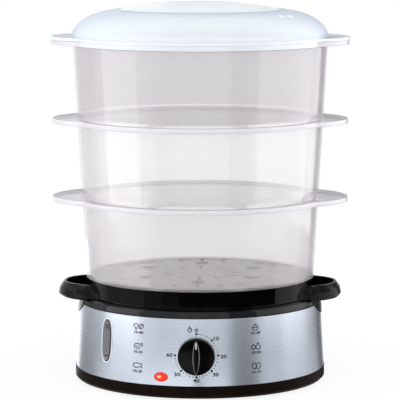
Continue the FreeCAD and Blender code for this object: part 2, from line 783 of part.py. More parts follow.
def heater_plate():
    seat = WELL_FLOOR + SEAL_SQUEEZE
    bottom = WELL_UNDERSIDE - CLAMP_RIB + SIT_GAP
    body = turned(
        [
            (0, bottom),
            (HEATER_BODY_RADIUS, bottom),
            (HEATER_BODY_RADIUS, seat),
            (HEATER_RADIUS, seat),
            (HEATER_RADIUS, heater_top() - 1),
            (HEATER_RADIUS - 1, heater_top()),
            (HEATER_BODY_RADIUS, heater_top()),
            (HEATER_BODY_RADIUS - 3, heater_top() + HEATER_CROWN),
            (0, heater_top() + HEATER_CROWN),
        ]
    )
    studs = []
    for angle in range(STUD_COUNT):
        spot = polar(STUD_RING_RADIUS, 90 + FULL_TURN * angle / STUD_COUNT)
        low = bottom - SIT_GAP - CLAMP_THICKNESS - NUT_HEIGHT - 1
        studs.append(cylinder(STUD_RADIUS, low, bottom, spot.x, spot.y))
    return fused([body] + studs)


def heater_tube():
    """Sheathed element pressed flat against the plate: an open ring whose two ends turn down."""
    top = WELL_UNDERSIDE - CLAMP_RIB + SIT_GAP
    low = top - 2 * TUBE_RADIUS
    side = TUBE_RADIUS * math.tan(math.radians(22.5))
    inner = TUBE_RING_RADIUS - TUBE_RADIUS
    outer = TUBE_RING_RADIUS + TUBE_RADIUS
    section = profile_face(
        [(inner, top), (outer, top), (outer, top - TUBE_RADIUS - side),
         (TUBE_RING_RADIUS + side, low), (TUBE_RING_RADIUS - side, low),
         (inner, top - TUBE_RADIUS - side)]
    )
    ring = section.revolve(Vector(0, 0, 0), Vector(0, 0, 1), FULL_TURN - TUBE_OPENING)
    ring.rotate(Vector(0, 0, 0), Vector(0, 0, 1), 90 + TUBE_OPENING / 2)
    tails = []
    for side in (-1, 1):
        spot = tube_end(side)
        tails.append(cylinder(TUBE_TAIL_RADIUS, low - TUBE_TAIL, low + TUBE_RADIUS, spot.x, spot.y))
    return fused([ring] + tails)


def tube_end(side):
    """Centre of the pin that turns down at one end of the element."""
    inset = math.degrees(1.5 * TUBE_TAIL_RADIUS / TUBE_RING_RADIUS)
    return polar(TUBE_RING_RADIUS, 90 - side * (TUBE_OPENING / 2 + inset))


def heater_seal():
    inner = HEATER_BODY_RADIUS + HEATER_HOLE_GAP
    return tube_ring(inner, inner + SEAL_WIDTH, WELL_FLOOR, WELL_FLOOR + SEAL_SQUEEZE)


def clamp_ring():
    top = WELL_UNDERSIDE - CLAMP_RIB
    ring = tube_ring(CLAMP_INNER_RADIUS, CLAMP_OUTER_RADIUS, top - CLAMP_THICKNESS, top)
    holes = []
    for index in range(STUD_COUNT):
        spot = polar(STUD_RING_RADIUS, 90 + FULL_TURN * index / STUD_COUNT)
        holes.append(cylinder(STUD_RADIUS + SIT_GAP, top - CLAMP_THICKNESS, top, spot.x, spot.y))
    return ring.cut(holes)


def clamp_nuts():
    top = WELL_UNDERSIDE - CLAMP_RIB - CLAMP_THICKNESS
    nuts = []
    for index in range(STUD_COUNT):
        spot = polar(STUD_RING_RADIUS, 90 + FULL_TURN * index / STUD_COUNT, top - NUT_HEIGHT)
        corner = NUT_ACROSS / math.sqrt(3)
        points = [spot + polar(corner, 60 * i) for i in range(7)]
        nut = Part.Face(Part.makePolygon(points)).extrude(Vector(0, 0, NUT_HEIGHT))
        nuts.append(nut.cut(cylinder(STUD_RADIUS + SHAFT_GAP, top - NUT_HEIGHT, top, spot.x, spot.y)))
    return Part.makeCompound(nuts)


def thermostat():
    top = WELL_UNDERSIDE - CLAMP_RIB + SIT_GAP
    can = cylinder(THERMOSTAT_RADIUS, top - THERMOSTAT_HEIGHT, top)
    tabs = []
    for side in (-1, 1):
        tab = block(SPADE_WIDTH, SPADE_THICKNESS, SPADE_LENGTH / 2,
                    (side * THERMOSTAT_RADIUS / 2 - SPADE_WIDTH / 2, 0,
                     top - THERMOSTAT_HEIGHT - SPADE_LENGTH / 2))
        tabs.append(tab)
    return fused([can] + tabs)


def thermal_fuse():
    """Fuse in its sleeve, strapped beside the thermostat."""
    top = WELL_UNDERSIDE - CLAMP_RIB + SIT_GAP
    y = -(THERMOSTAT_RADIUS + FUSE_RADIUS + SIT_GAP)
    body = Part.makeCylinder(
        FUSE_RADIUS, FUSE_LENGTH, Vector(-FUSE_LENGTH / 2, y, top - FUSE_RADIUS), Vector(1, 0, 0)
    )
    return body


# ------------------------------------------------------------------ wiring
def terminal_block():
    width, depth, height = TERMINAL_SIZE
    y = BASE_RADIUS - TERMINAL_SETBACK - INLET_LENGTH - depth
    body = block(width, depth, height, (-width / 2, y, HOUSING_FLOOR))
    screws = []
    for i in range(3):
        x = (i - 1) * width / 3
        screws.append(cylinder(TERMINAL_SCREW_RADIUS, HOUSING_FLOOR + height * 2 / 3, HOUSING_FLOOR + height,
                               x, y + depth / 2))
    return body.cut(screws)


def lead_start(index):
    """Where a lead leaves the terminal block, at the height that all leads run at."""
    width, depth, height = TERMINAL_SIZE
    y = BASE_RADIUS - TERMINAL_SETBACK - INLET_LENGTH - depth
    return Vector((index - 1) * width / 3, y, HOUSING_FLOOR + LEAD_RADIUS + LEAD_CLEARANCE)


def lead_element():
    """From the terminal block to one end of the element."""
    start = lead_start(0)
    pin = tube_end(-1)
    low = WELL_UNDERSIDE - CLAMP_RIB + SIT_GAP - 2 * TUBE_RADIUS - TUBE_TAIL
    return bent_tube(
        [start, (start.x, pin.y + LEAD_BEND * 4, start.z), (pin.x, pin.y, start.z), (pin.x, pin.y, low)],
        LEAD_RADIUS,
        LEAD_BEND,
    )


def lead_timer():
    """From the terminal block round the heater to a tab under the timer."""
    start = lead_start(2)
    tab = Vector(TIMER_SCREW_SPACING / 3, -(timer_front() - TIMER_DEPTH / 2) + SPADE_THICKNESS / 2, 0)
    low = timer_tab_bottom()
    aside = CLAMP_OUTER_RADIUS + LEAD_BEND
    return bent_tube(
        [start, (start.x, start.y - 2 * LEAD_BEND, start.z), (aside, start.y - aside, start.z),
         (aside, tab.y + aside, start.z), (tab.x, tab.y, start.z), (tab.x, tab.y, low)],
        LEAD_RADIUS,
        LEAD_BEND,
    )


def timer_tab_bottom():
    reach = TIMER_SCREW_SPACING / 3 + SPADE_WIDTH / 2
    return KNOB_HEIGHT - math.sqrt(TIMER_RADIUS**2 - reach**2) - SPADE_LENGTH


# ------------------------------------------------------------------ steam ring
def steam_ring():
    low = WELL_FLOOR
    high = low + STEAM_RING_HEIGHT
    ring = tube_ring(STEAM_RING_RADIUS - STEAM_RING_WALL, STEAM_RING_RADIUS, low, high)
    notch = block(STEAM_RING_WALL * 4, NOTCH_WIDTH, NOTCH_HEIGHT,
                  (STEAM_RING_RADIUS - 3 * STEAM_RING_WALL, -NOTCH_WIDTH / 2, low))
    return ring.cut(ring_of(notch, STEAM_RING_NOTCHES))


# ------------------------------------------------------------------ drip tray
def scoop_outline(z, inset):
    """Level outline of a scoop: widest at its belly, it leans in towards its rim and tucks in below."""
    belly = SCOOP_RIM - SCOOP_DEPTH
    tuck = SCOOP_TUCK * max(0.0, belly - z) / SCOOP_HANG
    lean = max(0.0, (z - belly) / SCOOP_DEPTH) ** SCOOP_LEAN
    reach = SCOOP_REACH - tuck - lean * (SCOOP_REACH - SCOOP_RIM_REACH)
    half = SCOOP_HALF_WIDTH - tuck - lean * (SCOOP_HALF_WIDTH - SCOOP_RIM_HALF_WIDTH)
    return superellipse_face(reach - inset, half - inset, SCOOP_POWER, z, SCOOP_CENTRE, 16).OuterWire


def scoop():
    """Open scoop, before the drum is taken out of it. Outside the tank lip it hangs lower than the lip."""
    belly = SCOOP_RIM - SCOOP_DEPTH
    low = belly - SCOOP_HANG
    middle = SCOOP_RIM - SCOOP_DEPTH / 2
    floor = low + SCOOP_WALL
    outer = Part.makeLoft([scoop_outline(z, 0.0) for z in (low, belly, middle, SCOOP_RIM)], True, True)
    levels = (floor, middle, SCOOP_RIM, SCOOP_RIM + SCOOP_WALL)
    cavity = Part.makeLoft([scoop_outline(z, SCOOP_WALL) for z in levels], True, True)
    over_lip = LIP_RADIUS + DIP_PROUD + LIFT_GAP
    step = cylinder(over_lip + SCOOP_WALL, low, belly + SCOOP_WALL)
    return outer.cut([cavity.cut(step), cylinder(over_lip, low, belly)])


def tray_radius(z):
    share = (z - SHELF) / (TRAY_TOP - SHELF)
    return TRAY_RADIUS + TRAY_FLARE * share


def drip_tray():
    floor_top = SHELF + TRAY_FLOOR_RISE + TRAY_WALL
    inner_low = tray_radius(floor_top) - TRAY_WALL
    inner_high = TRAY_RIM_RADIUS - TRAY_WALL
    chimney_top = floor_top + CHIMNEY_HEIGHT
    chimney_radius = CHIMNEY_RADIUS - CHIMNEY_TAPER
    pan = turned(
        [
            (TRAY_RADIUS - TRAY_WALL, SHELF),
            (TRAY_RADIUS, SHELF),
            (TRAY_RIM_RADIUS, TRAY_TOP),
            (inner_high, TRAY_TOP),
            (inner_low, floor_top),
            (CHIMNEY_RADIUS, floor_top - TRAY_FALL),
            (chimney_radius, chimney_top),
            (chimney_radius - TRAY_WALL, chimney_top),
            (CHIMNEY_RADIUS - TRAY_WALL, floor_top - TRAY_FALL - TRAY_WALL),
            (TRAY_RADIUS - TRAY_WALL, floor_top - TRAY_WALL),
        ]
    )
    outside = cylinder(tray_radius(SCOOP_RIM) - TRAY_WALL / 2, SHELF, TRAY_TOP)
    handle = scoop().cut(outside)
    window_low = SCOOP_RIM - SCOOP_DEPTH + SCOOP_WALL
    window = block(
        TRAY_RADIUS - FILLER_WEIR + TRAY_WALL * 2, FILLER_WIDTH, SCOOP_DEPTH,
        (FILLER_WEIR, -FILLER_WIDTH / 2, window_low),
    )
    duct_outer = FILLER_WIDTH + 2 * TRAY_WALL
    duct = block(TRAY_RADIUS - TRAY_WALL - FILLER_WEIR, duct_outer, SCOOP_RIM - floor_top + TRAY_FALL,
                 (FILLER_WEIR, -duct_outer / 2, floor_top - TRAY_FALL))
    duct = duct.cut(block(TRAY_RADIUS, FILLER_WIDTH, TRAY_RISE * 3,
                          (FILLER_WEIR + TRAY_WALL, -FILLER_WIDTH / 2, SHELF)))
    slot = block(FILLER_SLOT, FILLER_WIDTH, TRAY_RISE,
                 (FILLER_WEIR + TRAY_WALL, -FILLER_WIDTH / 2, SHELF))
    sides = [handle, duct.common(cylinder(inner_low + TRAY_WALL / 2, SHELF, TRAY_TOP))]
    halves = [spun(s, turn) for s in sides for turn in (0, 180)]
    cuts = [spun(s, turn) for s in (window, slot) for turn in (0, 180)]
    return fused([pan] + halves).cut(cuts)


# ------------------------------------------------------------------ bowls and lid
def rim_face(rim_radius, tab_overhang, z, inset=0.0):
    """Round rim with a tab at each side, blended by hollow arcs. The outline may be set in or out."""
    tab_centre = rim_radius + tab_overhang - TAB_RADIUS
    reach_rim = rim_radius + TAB_BLEND
    reach_tab = TAB_RADIUS + TAB_BLEND
    blend_x = (reach_rim**2 - reach_tab**2 + tab_centre**2) / (2 * tab_centre)
    blend_y = math.sqrt(reach_rim**2 - blend_x**2)
    rim = rim_radius - inset
    tab = TAB_RADIUS - inset
    blend = TAB_BLEND + inset
    centre = Vector(blend_x, blend_y, z)
    on_rim = Vector(blend_x, blend_y, 0) * (rim / reach_rim) + Vector(0, 0, z)
    towards_tab = Vector(blend_x - tab_centre, blend_y, 0) * (tab / reach_tab)
    on_tab = Vector(tab_centre, 0, z) + towards_tab
    middle = (on_rim + on_tab) * 0.5 - centre
    blend_mid = centre + middle.normalize() * blend
    tip = Vector(tab_centre + tab, 0, z)

    def mirrored(point, x, y):
        return Vector(point.x * x, point.y * y, point.z)

    edges = []
    for x in (1, -1):
        edges.append(Part.Arc(mirrored(on_tab, x, -1), mirrored(tip, x, 1), mirrored(on_tab, x, 1)))
        for y in (1, -1):
            edges.append(
                Part.Arc(mirrored(on_tab, x, y), mirrored(blend_mid, x, y), mirrored(on_rim, x, y))
            )
    for y in (1, -1):
        edges.append(
            Part.Arc(mirrored(on_rim, 1, y), Vector(0, y * rim, z), mirrored(on_rim, -1, y))
        )
    wire = Part.Wire(Part.__sortEdges__([e.toShape() for e in edges]))
    return Part.Face(wire)


def rim_prism(rim_radius, tab_overhang, low, high, inset=0.0):
    return rim_face(rim_radius, tab_overhang, low, inset).extrude(Vector(0, 0, high - low))


def bowl_sizes(index):
    """Level of the bottom edge, and the outer radius there and at the rim."""
    bottom = TRAY_TOP + sum(BOWL_HEIGHTS[:index])
    radius = TRAY_RIM_RADIUS - BOWL_SETBACK + index * (BOWL_DRAFT + NEST_STEP)
    return bottom, radius, radius + BOWL_DRAFT


def mouth_radius(index):
    """Inner radius of what a bowl stands on: the tray, or the bowl below."""
    if index == 0:
        return TRAY_RIM_RADIUS - TRAY_WALL
    return bowl_sizes(index - 1)[2] - BOWL_WALL


def bowl(index):
    bottom, low_radius, high_radius = bowl_sizes(index)
    top = bottom + BOWL_HEIGHTS[index]
    floor_low = bottom
    floor_high = floor_low + BOWL_FLOOR
    shell = turned(
        [
            (0, bottom),
            (low_radius, bottom),
            (high_radius, top),
            (high_radius - BOWL_WALL, top),
            (low_radius - BOWL_WALL, floor_high),
            (0, floor_high),
        ]
    )
    rim_radius = high_radius + RIM_OVERHANGS[index]
    plate = rim_prism(rim_radius, TAB_OVERHANG, top - RIM_DEPTH, top)
    under = rim_prism(rim_radius, TAB_OVERHANG, top - RIM_DEPTH, top - RIM_PLATE, RIM_LIP)
    mouth = turned(
        [
            (0, floor_high),
            (low_radius - BOWL_WALL, floor_high),
            (high_radius - BOWL_WALL, top),
            (high_radius - BOWL_WALL, top + 1),
            (0, top + 1),
        ]
    )
    rim = plate.cut([under, mouth])
    rib_outer = mouth_radius(index) - LIFT_GAP
    rib = block(RIB_THICKNESS, RIB_LENGTH, RIB_DEPTH + BOWL_FLOOR / 2,
                (rib_outer - RIB_THICKNESS - 1, -RIB_LENGTH / 2, bottom - RIB_DEPTH))
    ribs = ring_of(rib, RIB_COUNT, FULL_TURN / RIB_COUNT / 2)
    slots = []
    for radius, count in zip(SLOT_RADII, SLOT_COUNTS):
        slot = block(SLOT_LENGTH, SLOT_WIDTH, BOWL_FLOOR + 2,
                     (radius - SLOT_LENGTH / 2, -SLOT_WIDTH / 2, floor_low - 1))
        slots += ring_of(slot, count)
    spot = EGG_RING
    egg = cylinder(EGG_RADIUS, floor_low - 1, floor_high + 1, spot)
    slots += ring_of(egg, EGG_COUNT, FULL_TURN / EGG_COUNT / 2)
    return fused([shell, rim] + ribs).cut(slots)


def lid_shoulder(inset):
    """Points of the dome's shoulder, a quarter superellipse from the rim up to the crease."""
    start = bowl_sizes(2)[2] + RIM_OVERHANGS[2] - inset
    low = STEAM_TOP + LID_PLATE + LID_ROOT_RISE
    high = STEAM_TOP + LID_SHOULDER_HEIGHT - inset
    points = []
    for i in range(LID_SHOULDER_STAGES + 1):
        turn = math.pi / 2 * i / LID_SHOULDER_STAGES
        share_r = math.cos(turn) ** (2 / LID_SHOULDER_POWER)
        share_z = math.sin(turn) ** (2 / LID_SHOULDER_POWER)
        radius = LID_CREASE_RADIUS + (start - LID_CREASE_RADIUS) * share_r
        points.append((radius, low + (high - low) * share_z))
    return points


def lid():
    rim_radius = bowl_sizes(2)[2] + RIM_OVERHANGS[2]
    skirt_inner = rim_radius + SIT_GAP
    skirt_outer = skirt_inner + LID_SKIRT_WALL
    top = STEAM_TOP + LID_HEIGHT
    outer = lid_shoulder(0.0)
    inner = lid_shoulder(LID_WALL)
    share = 1 - (LID_CROWN_RADIUS / LID_CREASE_RADIUS) ** 2
    crown = STEAM_TOP + LID_SHOULDER_HEIGHT + share * (LID_HEIGHT - LID_SHOULDER_HEIGHT)
    shell = turned(
        [(rim_radius - LID_WALL, STEAM_TOP), (skirt_outer, STEAM_TOP),
         (skirt_outer, STEAM_TOP + LID_PLATE)]
        + outer
        + [(LID_CROWN_RADIUS, crown), (0, top), (0, top - LID_WALL), (LID_CROWN_RADIUS, crown - LID_WALL)]
        + inner[::-1]
    )
    tabs = rim_prism(skirt_outer, LID_TAB_OVERHANG, STEAM_TOP, STEAM_TOP + LID_PLATE)
    tabs = tabs.cut(cylinder(rim_radius - LID_WALL / 2, STEAM_TOP - 1, STEAM_TOP + LID_PLATE + 1))
    skirt = tube_ring(skirt_inner, skirt_outer, STEAM_TOP - LID_SKIRT, STEAM_TOP)
    skirt = skirt.cut(
        rim_prism(rim_radius, TAB_OVERHANG, STEAM_TOP - LID_SKIRT, STEAM_TOP, -SIT_GAP)
    )
    vents = []
    for angle in LID_VENT_ANGLES:
        spot = polar(LID_VENT_RING, angle - 90)
        vents.append(cylinder(VENT_HOLE_RADIUS, STEAM_TOP + LID_PLATE, top, spot.x, spot.y))
    return fused([shell, tabs, skirt]).cut(vents)


# ------------------------------------------------------------------ all pieces
def build_all():
    pieces = {
        "base_housing": base_housing(),
        "steel_band": steel_band(),
        "water_tank": water_tank(),
        "gauge_window": gauge_window(),
        "gauge_seal": gauge_seal(),
        "pilot_lens": pilot_lens(),
        "neon_lamp": lamp_body(0.0),
        "dial_bezel": dial_bezel(),
        "timer_case": timer_case(),
        "timer_bell": timer_bell(),
        "timer_screws": timer_screws(),
        "timer_terminals": timer_terminals(),
        "heater_plate": heater_plate(),
        "heater_tube": heater_tube(),
        "heater_seal": heater_seal(),
        "clamp_ring": clamp_ring(),
        "clamp_nuts": clamp_nuts(),
        "thermostat": thermostat(),
        "thermal_fuse": thermal_fuse(),
        "terminal_block": terminal_block(),
        "cord_gland": cord_gland(),
        "rubber_feet": rubber_feet(),
        "housing_screws": housing_screws(),
        "steam_ring": steam_ring(),
        "timer_knob": timer_knob(),
        "timer_shaft": timer_shaft(),
        "drip_tray": drip_tray(),
        "lid": lid(),
        "lead_element": lead_element(),
        "lead_timer": lead_timer(),
    }
    for index, name in enumerate(BOWL_NAMES):
        pieces[name] = bowl(index)
    return pieces


def main():
    os.makedirs("parts", exist_ok=True)
    for name, shape in build_all().items():
        shape.exportStep(os.path.join("parts", name + ".step"))


main()
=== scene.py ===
"""Looks of a three-tier electric food steamer, built round its CAD frame.

Sizes inside the classes are in millimetres and become metres when a mesh is made. The stack's axis is Z and
the control panel faces -Y. Angles round the panel are counted from the front, and grow towards +X.
"""

from __future__ import annotations

import json
import logging
import math
from dataclasses import dataclass, field
from enum import Enum
from typing import Any, Sequence

import bmesh
import bpy
import numpy as np
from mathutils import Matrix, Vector

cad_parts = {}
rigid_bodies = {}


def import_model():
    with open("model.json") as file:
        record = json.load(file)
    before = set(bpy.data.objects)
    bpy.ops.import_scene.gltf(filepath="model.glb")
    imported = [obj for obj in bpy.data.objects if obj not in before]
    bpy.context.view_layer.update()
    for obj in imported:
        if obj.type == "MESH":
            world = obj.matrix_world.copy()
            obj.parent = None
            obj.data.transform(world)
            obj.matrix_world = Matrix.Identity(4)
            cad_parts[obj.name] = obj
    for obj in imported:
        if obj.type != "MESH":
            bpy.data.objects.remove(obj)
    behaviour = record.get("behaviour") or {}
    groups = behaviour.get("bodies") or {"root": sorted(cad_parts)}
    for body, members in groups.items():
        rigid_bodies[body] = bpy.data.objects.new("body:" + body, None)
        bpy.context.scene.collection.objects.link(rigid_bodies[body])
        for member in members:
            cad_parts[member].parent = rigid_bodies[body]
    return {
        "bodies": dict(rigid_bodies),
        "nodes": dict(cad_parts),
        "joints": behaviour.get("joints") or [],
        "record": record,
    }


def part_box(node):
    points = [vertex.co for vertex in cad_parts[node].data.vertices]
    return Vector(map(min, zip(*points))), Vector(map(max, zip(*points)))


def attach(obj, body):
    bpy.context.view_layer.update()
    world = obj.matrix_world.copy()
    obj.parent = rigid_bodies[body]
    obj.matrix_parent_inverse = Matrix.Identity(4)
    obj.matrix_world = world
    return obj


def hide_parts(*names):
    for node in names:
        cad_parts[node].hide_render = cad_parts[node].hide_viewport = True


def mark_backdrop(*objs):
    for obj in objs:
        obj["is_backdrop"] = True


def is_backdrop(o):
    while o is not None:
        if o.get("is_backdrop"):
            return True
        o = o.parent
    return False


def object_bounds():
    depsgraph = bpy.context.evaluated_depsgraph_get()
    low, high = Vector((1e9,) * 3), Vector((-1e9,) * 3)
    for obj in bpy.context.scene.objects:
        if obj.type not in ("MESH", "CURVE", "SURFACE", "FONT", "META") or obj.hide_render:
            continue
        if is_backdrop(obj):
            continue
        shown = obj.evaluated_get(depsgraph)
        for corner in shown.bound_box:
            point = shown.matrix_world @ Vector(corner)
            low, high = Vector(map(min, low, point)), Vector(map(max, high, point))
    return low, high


LOG = logging.getLogger("steamer")
MM = 0.001
MERGE_DISTANCE = 0.000004
WHITE = (1.0, 1.0, 1.0)
FRAME: dict[str, Any] = {}
Pair = tuple[float, float]
Triple = tuple[float, float, float]
Colour = Triple


# --------------------------------------------------------------------------------- shader maths
class Signal:
    """A number that varies over a surface, held as a node socket, on which plain arithmetic works."""

    def __init__(self, graph: Graph, socket: bpy.types.NodeSocket) -> None:
        """Wraps a socket of a graph."""
        self.graph = graph
        self.socket = socket

    def _math(self, operation: str, *terms: Term) -> Signal:
        """Value of a new Math node with this operation and these inputs."""
        node = self.graph.node("ShaderNodeMath", {"operation": operation}, dict(enumerate(terms)))
        return self.graph.signal(node)

    def __add__(self, other: Term) -> Signal:
        """Sum."""
        return self._math("ADD", self, other)

    def __radd__(self, other: float) -> Signal:
        """Sum with a plain number on the left."""
        return self._math("ADD", other, self)

    def __sub__(self, other: Term) -> Signal:
        """Difference."""
        return self._math("SUBTRACT", self, other)

    def __mul__(self, other: Term) -> Signal:
        """Product."""
        return self._math("MULTIPLY", self, other)

    def __rmul__(self, other: float) -> Signal:
        """Product with a plain number on the left."""
        return self._math("MULTIPLY", other, self)

    def __truediv__(self, other: Term) -> Signal:
        """Quotient."""
        return self._math("DIVIDE", self, other)

    def __pow__(self, other: float) -> Signal:
        """Power."""
        return self._math("POWER", self, other)

    def angle_to(self, other: Signal) -> Signal:
        """Angle whose tangent is this value over the other, in radians."""
        return self._math("ARCTAN2", self, other)

    def largest(self, other: Term) -> Signal:
        """The larger of two values."""
        return self._math("MAXIMUM", self, other)


Term = Signal | float


class Graph:
    """The node tree of one material or world."""

    def __init__(self, owner: bpy.types.Material | bpy.types.World) -> None:
        """Starts an empty tree."""
        owner.use_nodes = True
        self.tree = owner.node_tree
        self.tree.nodes.clear()

    def node(
        self, kind: str, settings: dict[str, Any] | None = None, inputs: dict[Any, Any] | None = None
    ) -> bpy.types.Node:
        """Adds one node.

        Args:
            kind: the node's type.
            settings: its properties, set before its sockets; "stops" are a ramp's (place, grey) pairs.
            inputs: value, colour, signal or socket for each input, by name or number.

        Returns:
            The node.
        """
        node = self.tree.nodes.new(kind)
        for name, value in (settings or {}).items():
            if name == "stops":
                self.fill_ramp(node.color_ramp, value)
            else:
                setattr(node, name, value)
        for name, value in (inputs or {}).items():
            socket = node.inputs[name]
            value = value.socket if isinstance(value, Signal) else value
            if isinstance(value, bpy.types.NodeSocket):
                self.tree.links.new(value, socket)
            elif isinstance(value, tuple) and len(value) == 3 and socket.type == "RGBA":
                socket.default_value = (*value, 1.0)
            else:
                socket.default_value = value
        return node

    @staticmethod
    def fill_ramp(ramp: bpy.types.ColorRamp, stops: Sequence[Pair]) -> None:
        """Gives a ramp its grey stops."""
        while len(ramp.elements) < len(stops):
            ramp.elements.new(0.5)
        for element, (place, grey) in zip(ramp.elements, stops):
            element.position = place
            element.color = (grey, grey, grey, 1.0)

    def signal(self, node: bpy.types.Node, output: str | int = 0) -> Signal:
        """One output of a node as a signal."""
        return Signal(self, node.outputs[output])

    def ramp(self, value: Signal, *stops: Pair) -> Signal:
        """The grey that a ramp with these (place, grey) stops gives a value."""
        return self.signal(self.node("ShaderNodeValToRGB", {"stops": stops}, {0: value}))

    def mix(self, share: Term, first: Any, second: Any, blend: str = "MIX") -> bpy.types.NodeSocket:
        """Colour that goes from the first to the second with the share, or blends them another way."""
        settings = {"data_type": "RGBA", "blend_type": blend}
        return self.node("ShaderNodeMix", settings, {0: share, 6: first, 7: second}).outputs[2]

    def bump(self, height: Signal, distance: float, strength: float) -> bpy.types.NodeSocket:
        """Normal of a surface that this height lifts."""
        inputs = {"Strength": strength, "Distance": distance, "Height": height}
        return self.node("ShaderNodeBump", inputs=inputs).outputs[0]

    def emission(self, colour: Colour, strength: float) -> bpy.types.NodeSocket:
        """Plain light."""
        return self.node("ShaderNodeEmission", inputs={0: colour, 1: strength}).outputs[0]

    def mix_shaders(
        self, share: Signal, first: bpy.types.NodeSocket, second: bpy.types.NodeSocket
    ) -> bpy.types.NodeSocket:
        """Shader that goes from the first to the second with the share."""
        return self.node("ShaderNodeMixShader", inputs={0: share, 1: first, 2: second}).outputs[0]

    def seen(self) -> Signal:
        """1 where the surface is seen, straight, mirrored or through another; 0 where it only lights."""
        rays = self.node("ShaderNodeLightPath")
        camera, glossy, through = (
            self.signal(rays, "Is %s Ray" % kind) for kind in ("Camera", "Glossy", "Transmission")
        )
        return camera.largest(glossy).largest(through)

    def object_axes(self) -> tuple[Signal, Signal, Signal]:
        """The surface point's X, Y and Z in the object's own space, in metres."""
        place = self.node("ShaderNodeTexCoord")
        split = self.node("ShaderNodeSeparateXYZ", inputs={0: place.outputs["Object"]})
        return self.signal(split, 0), self.signal(split, 1), self.signal(split, 2)

    def noise(self, x: Term, y: Term, z: Term, detail: float = 2.0) -> Signal:
        """Cloudy pattern between 0 and 1 at a place worked out from signals."""
        place = self.node("ShaderNodeCombineXYZ", inputs={0: x, 1: y, 2: z}).outputs[0]
        inputs = {"Vector": place, "Scale": 1.0, "Detail": detail}
        return self.signal(self.node("ShaderNodeTexNoise", inputs=inputs))

    def finish(self, shader: bpy.types.NodeSocket, kind: str = "Material") -> None:
        """Joins the last shader to the output of the material or the world."""
        self.node("ShaderNodeOutput" + kind, inputs={"Surface": shader})


# --------------------------------------------------------------------------------- finishes
@dataclass(frozen=True)
class Finish:
    """A plain finish: one colour, cloudy patches in the gloss and a fine, shallow relief."""

    name: str
    colour: Colour
    roughness: float
    metallic: float = 0.0
    coat: float = 0.0
    specular: float = 0.5
    relief: float = 0.00001
    coat_roughness: float = 0.04
    patch_scale: float = 45.0
    patch_depth: float = 0.5
    grain_scale: float = 1400.0
    grain_strength: float = 0.2

    def material(self) -> bpy.types.Material:
        """The finish as a material, made once."""
        found = bpy.data.materials.get(self.name)
        if found is None:
            found = bpy.data.materials.new(self.name)
            self.build(Graph(found))
        return found

    def principled(self, graph: Graph, **inputs: Any) -> bpy.types.NodeSocket:
        """The finish's main shader.

        Args:
            graph: the tree to add it to.
            inputs: sockets that differ from the plain finish, with underscores for spaces.

        Returns:
            The shader's socket.
        """
        values = {
            "Base Color": self.colour,
            "Roughness": self.roughness,
            "Metallic": self.metallic,
            "Coat Weight": self.coat,
            "Coat Roughness": self.coat_roughness,
            "Specular IOR Level": self.specular,
        }
        values.update({name.replace("_", " "): value for name, value in inputs.items()})
        return graph.node("ShaderNodeBsdfPrincipled", inputs=values).outputs[0]

    def texture(self, graph: Graph) -> tuple[Signal, bpy.types.NodeSocket]:
        """Roughness with its patches, and normal with its relief."""
        axes = graph.object_axes()
        patches = graph.noise(*(axis * self.patch_scale for axis in axes))
        grain = graph.noise(*(axis * self.grain_scale for axis in axes))
        roughness = self.roughness * (1.0 + (patches - 0.5) * self.patch_depth)
        return roughness, graph.bump(grain, self.relief, self.grain_strength)

    def build(self, graph: Graph) -> None:
        """Fills the material's tree."""
        roughness, normal = self.texture(graph)
        graph.finish(self.principled(graph, Roughness=roughness, Normal=normal))


@dataclass(frozen=True)
class Polished(Finish):
    """Gloss plastic with a bright coat on the round body and a duller one out on the scoops and hooks."""

    near: float = 0.36
    far: float = 0.03
    fade: Pair = (0.099, 0.106)
    dulling: float = 0.12
    widen: float = 5.0

    def build(self, graph: Graph) -> None:
        """The coat goes from near to far as |x| passes through the fade, widened to keep the ramp fine."""
        roughness, normal = self.texture(graph)
        x = graph.object_axes()[0]
        first, last = self.fade
        across = (x * x) ** 0.5 * self.widen
        out = graph.ramp(across, (first * self.widen, 0.0), (last * self.widen, 1.0))
        coat = self.near + (self.far - self.near) * out
        rough = roughness + out * self.dulling
        graph.finish(self.principled(graph, Roughness=rough, Normal=normal, Coat_Weight=coat))


@dataclass(frozen=True)
class Brushed(Finish):
    """Steel whose fine scratches run level round the band."""

    lines: float = 6500.0
    laps: float = 6.0
    contrast: float = 0.035
    depth: float = 0.0000025
    depth_strength: float = 0.35
    gloss_change: float = 0.04
    broad_laps: float = 0.4
    broad_lines: float = 0.15
    broad_contrast: float = 0.6

    def build(self, graph: Graph) -> None:
        """Streaks, long round the axis and fine up it, in the roughness, the colour and a slight bump."""
        x, y, z = graph.object_axes()
        along = y.angle_to(x) * self.laps
        streaks = graph.noise(along, z * self.lines, 0.0, 3.0)
        broad = graph.noise(along * self.broad_laps, z * self.lines * self.broad_lines, 4.0)
        fine_part = (streaks - 0.5) * self.contrast
        broad_part = (broad - 0.5) * self.contrast * self.broad_contrast
        grey = 1.0 + fine_part + broad_part
        shade = graph.node("ShaderNodeCombineColor", inputs={0: grey, 1: grey, 2: grey}).outputs[0]
        shader = self.principled(
            graph,
            Base_Color=graph.mix(1.0, self.colour, shade, "MULTIPLY"),
            Roughness=self.roughness + (streaks - 0.5) * self.gloss_change,
            Normal=graph.bump(streaks, self.depth, self.depth_strength),
        )
        graph.finish(shader)


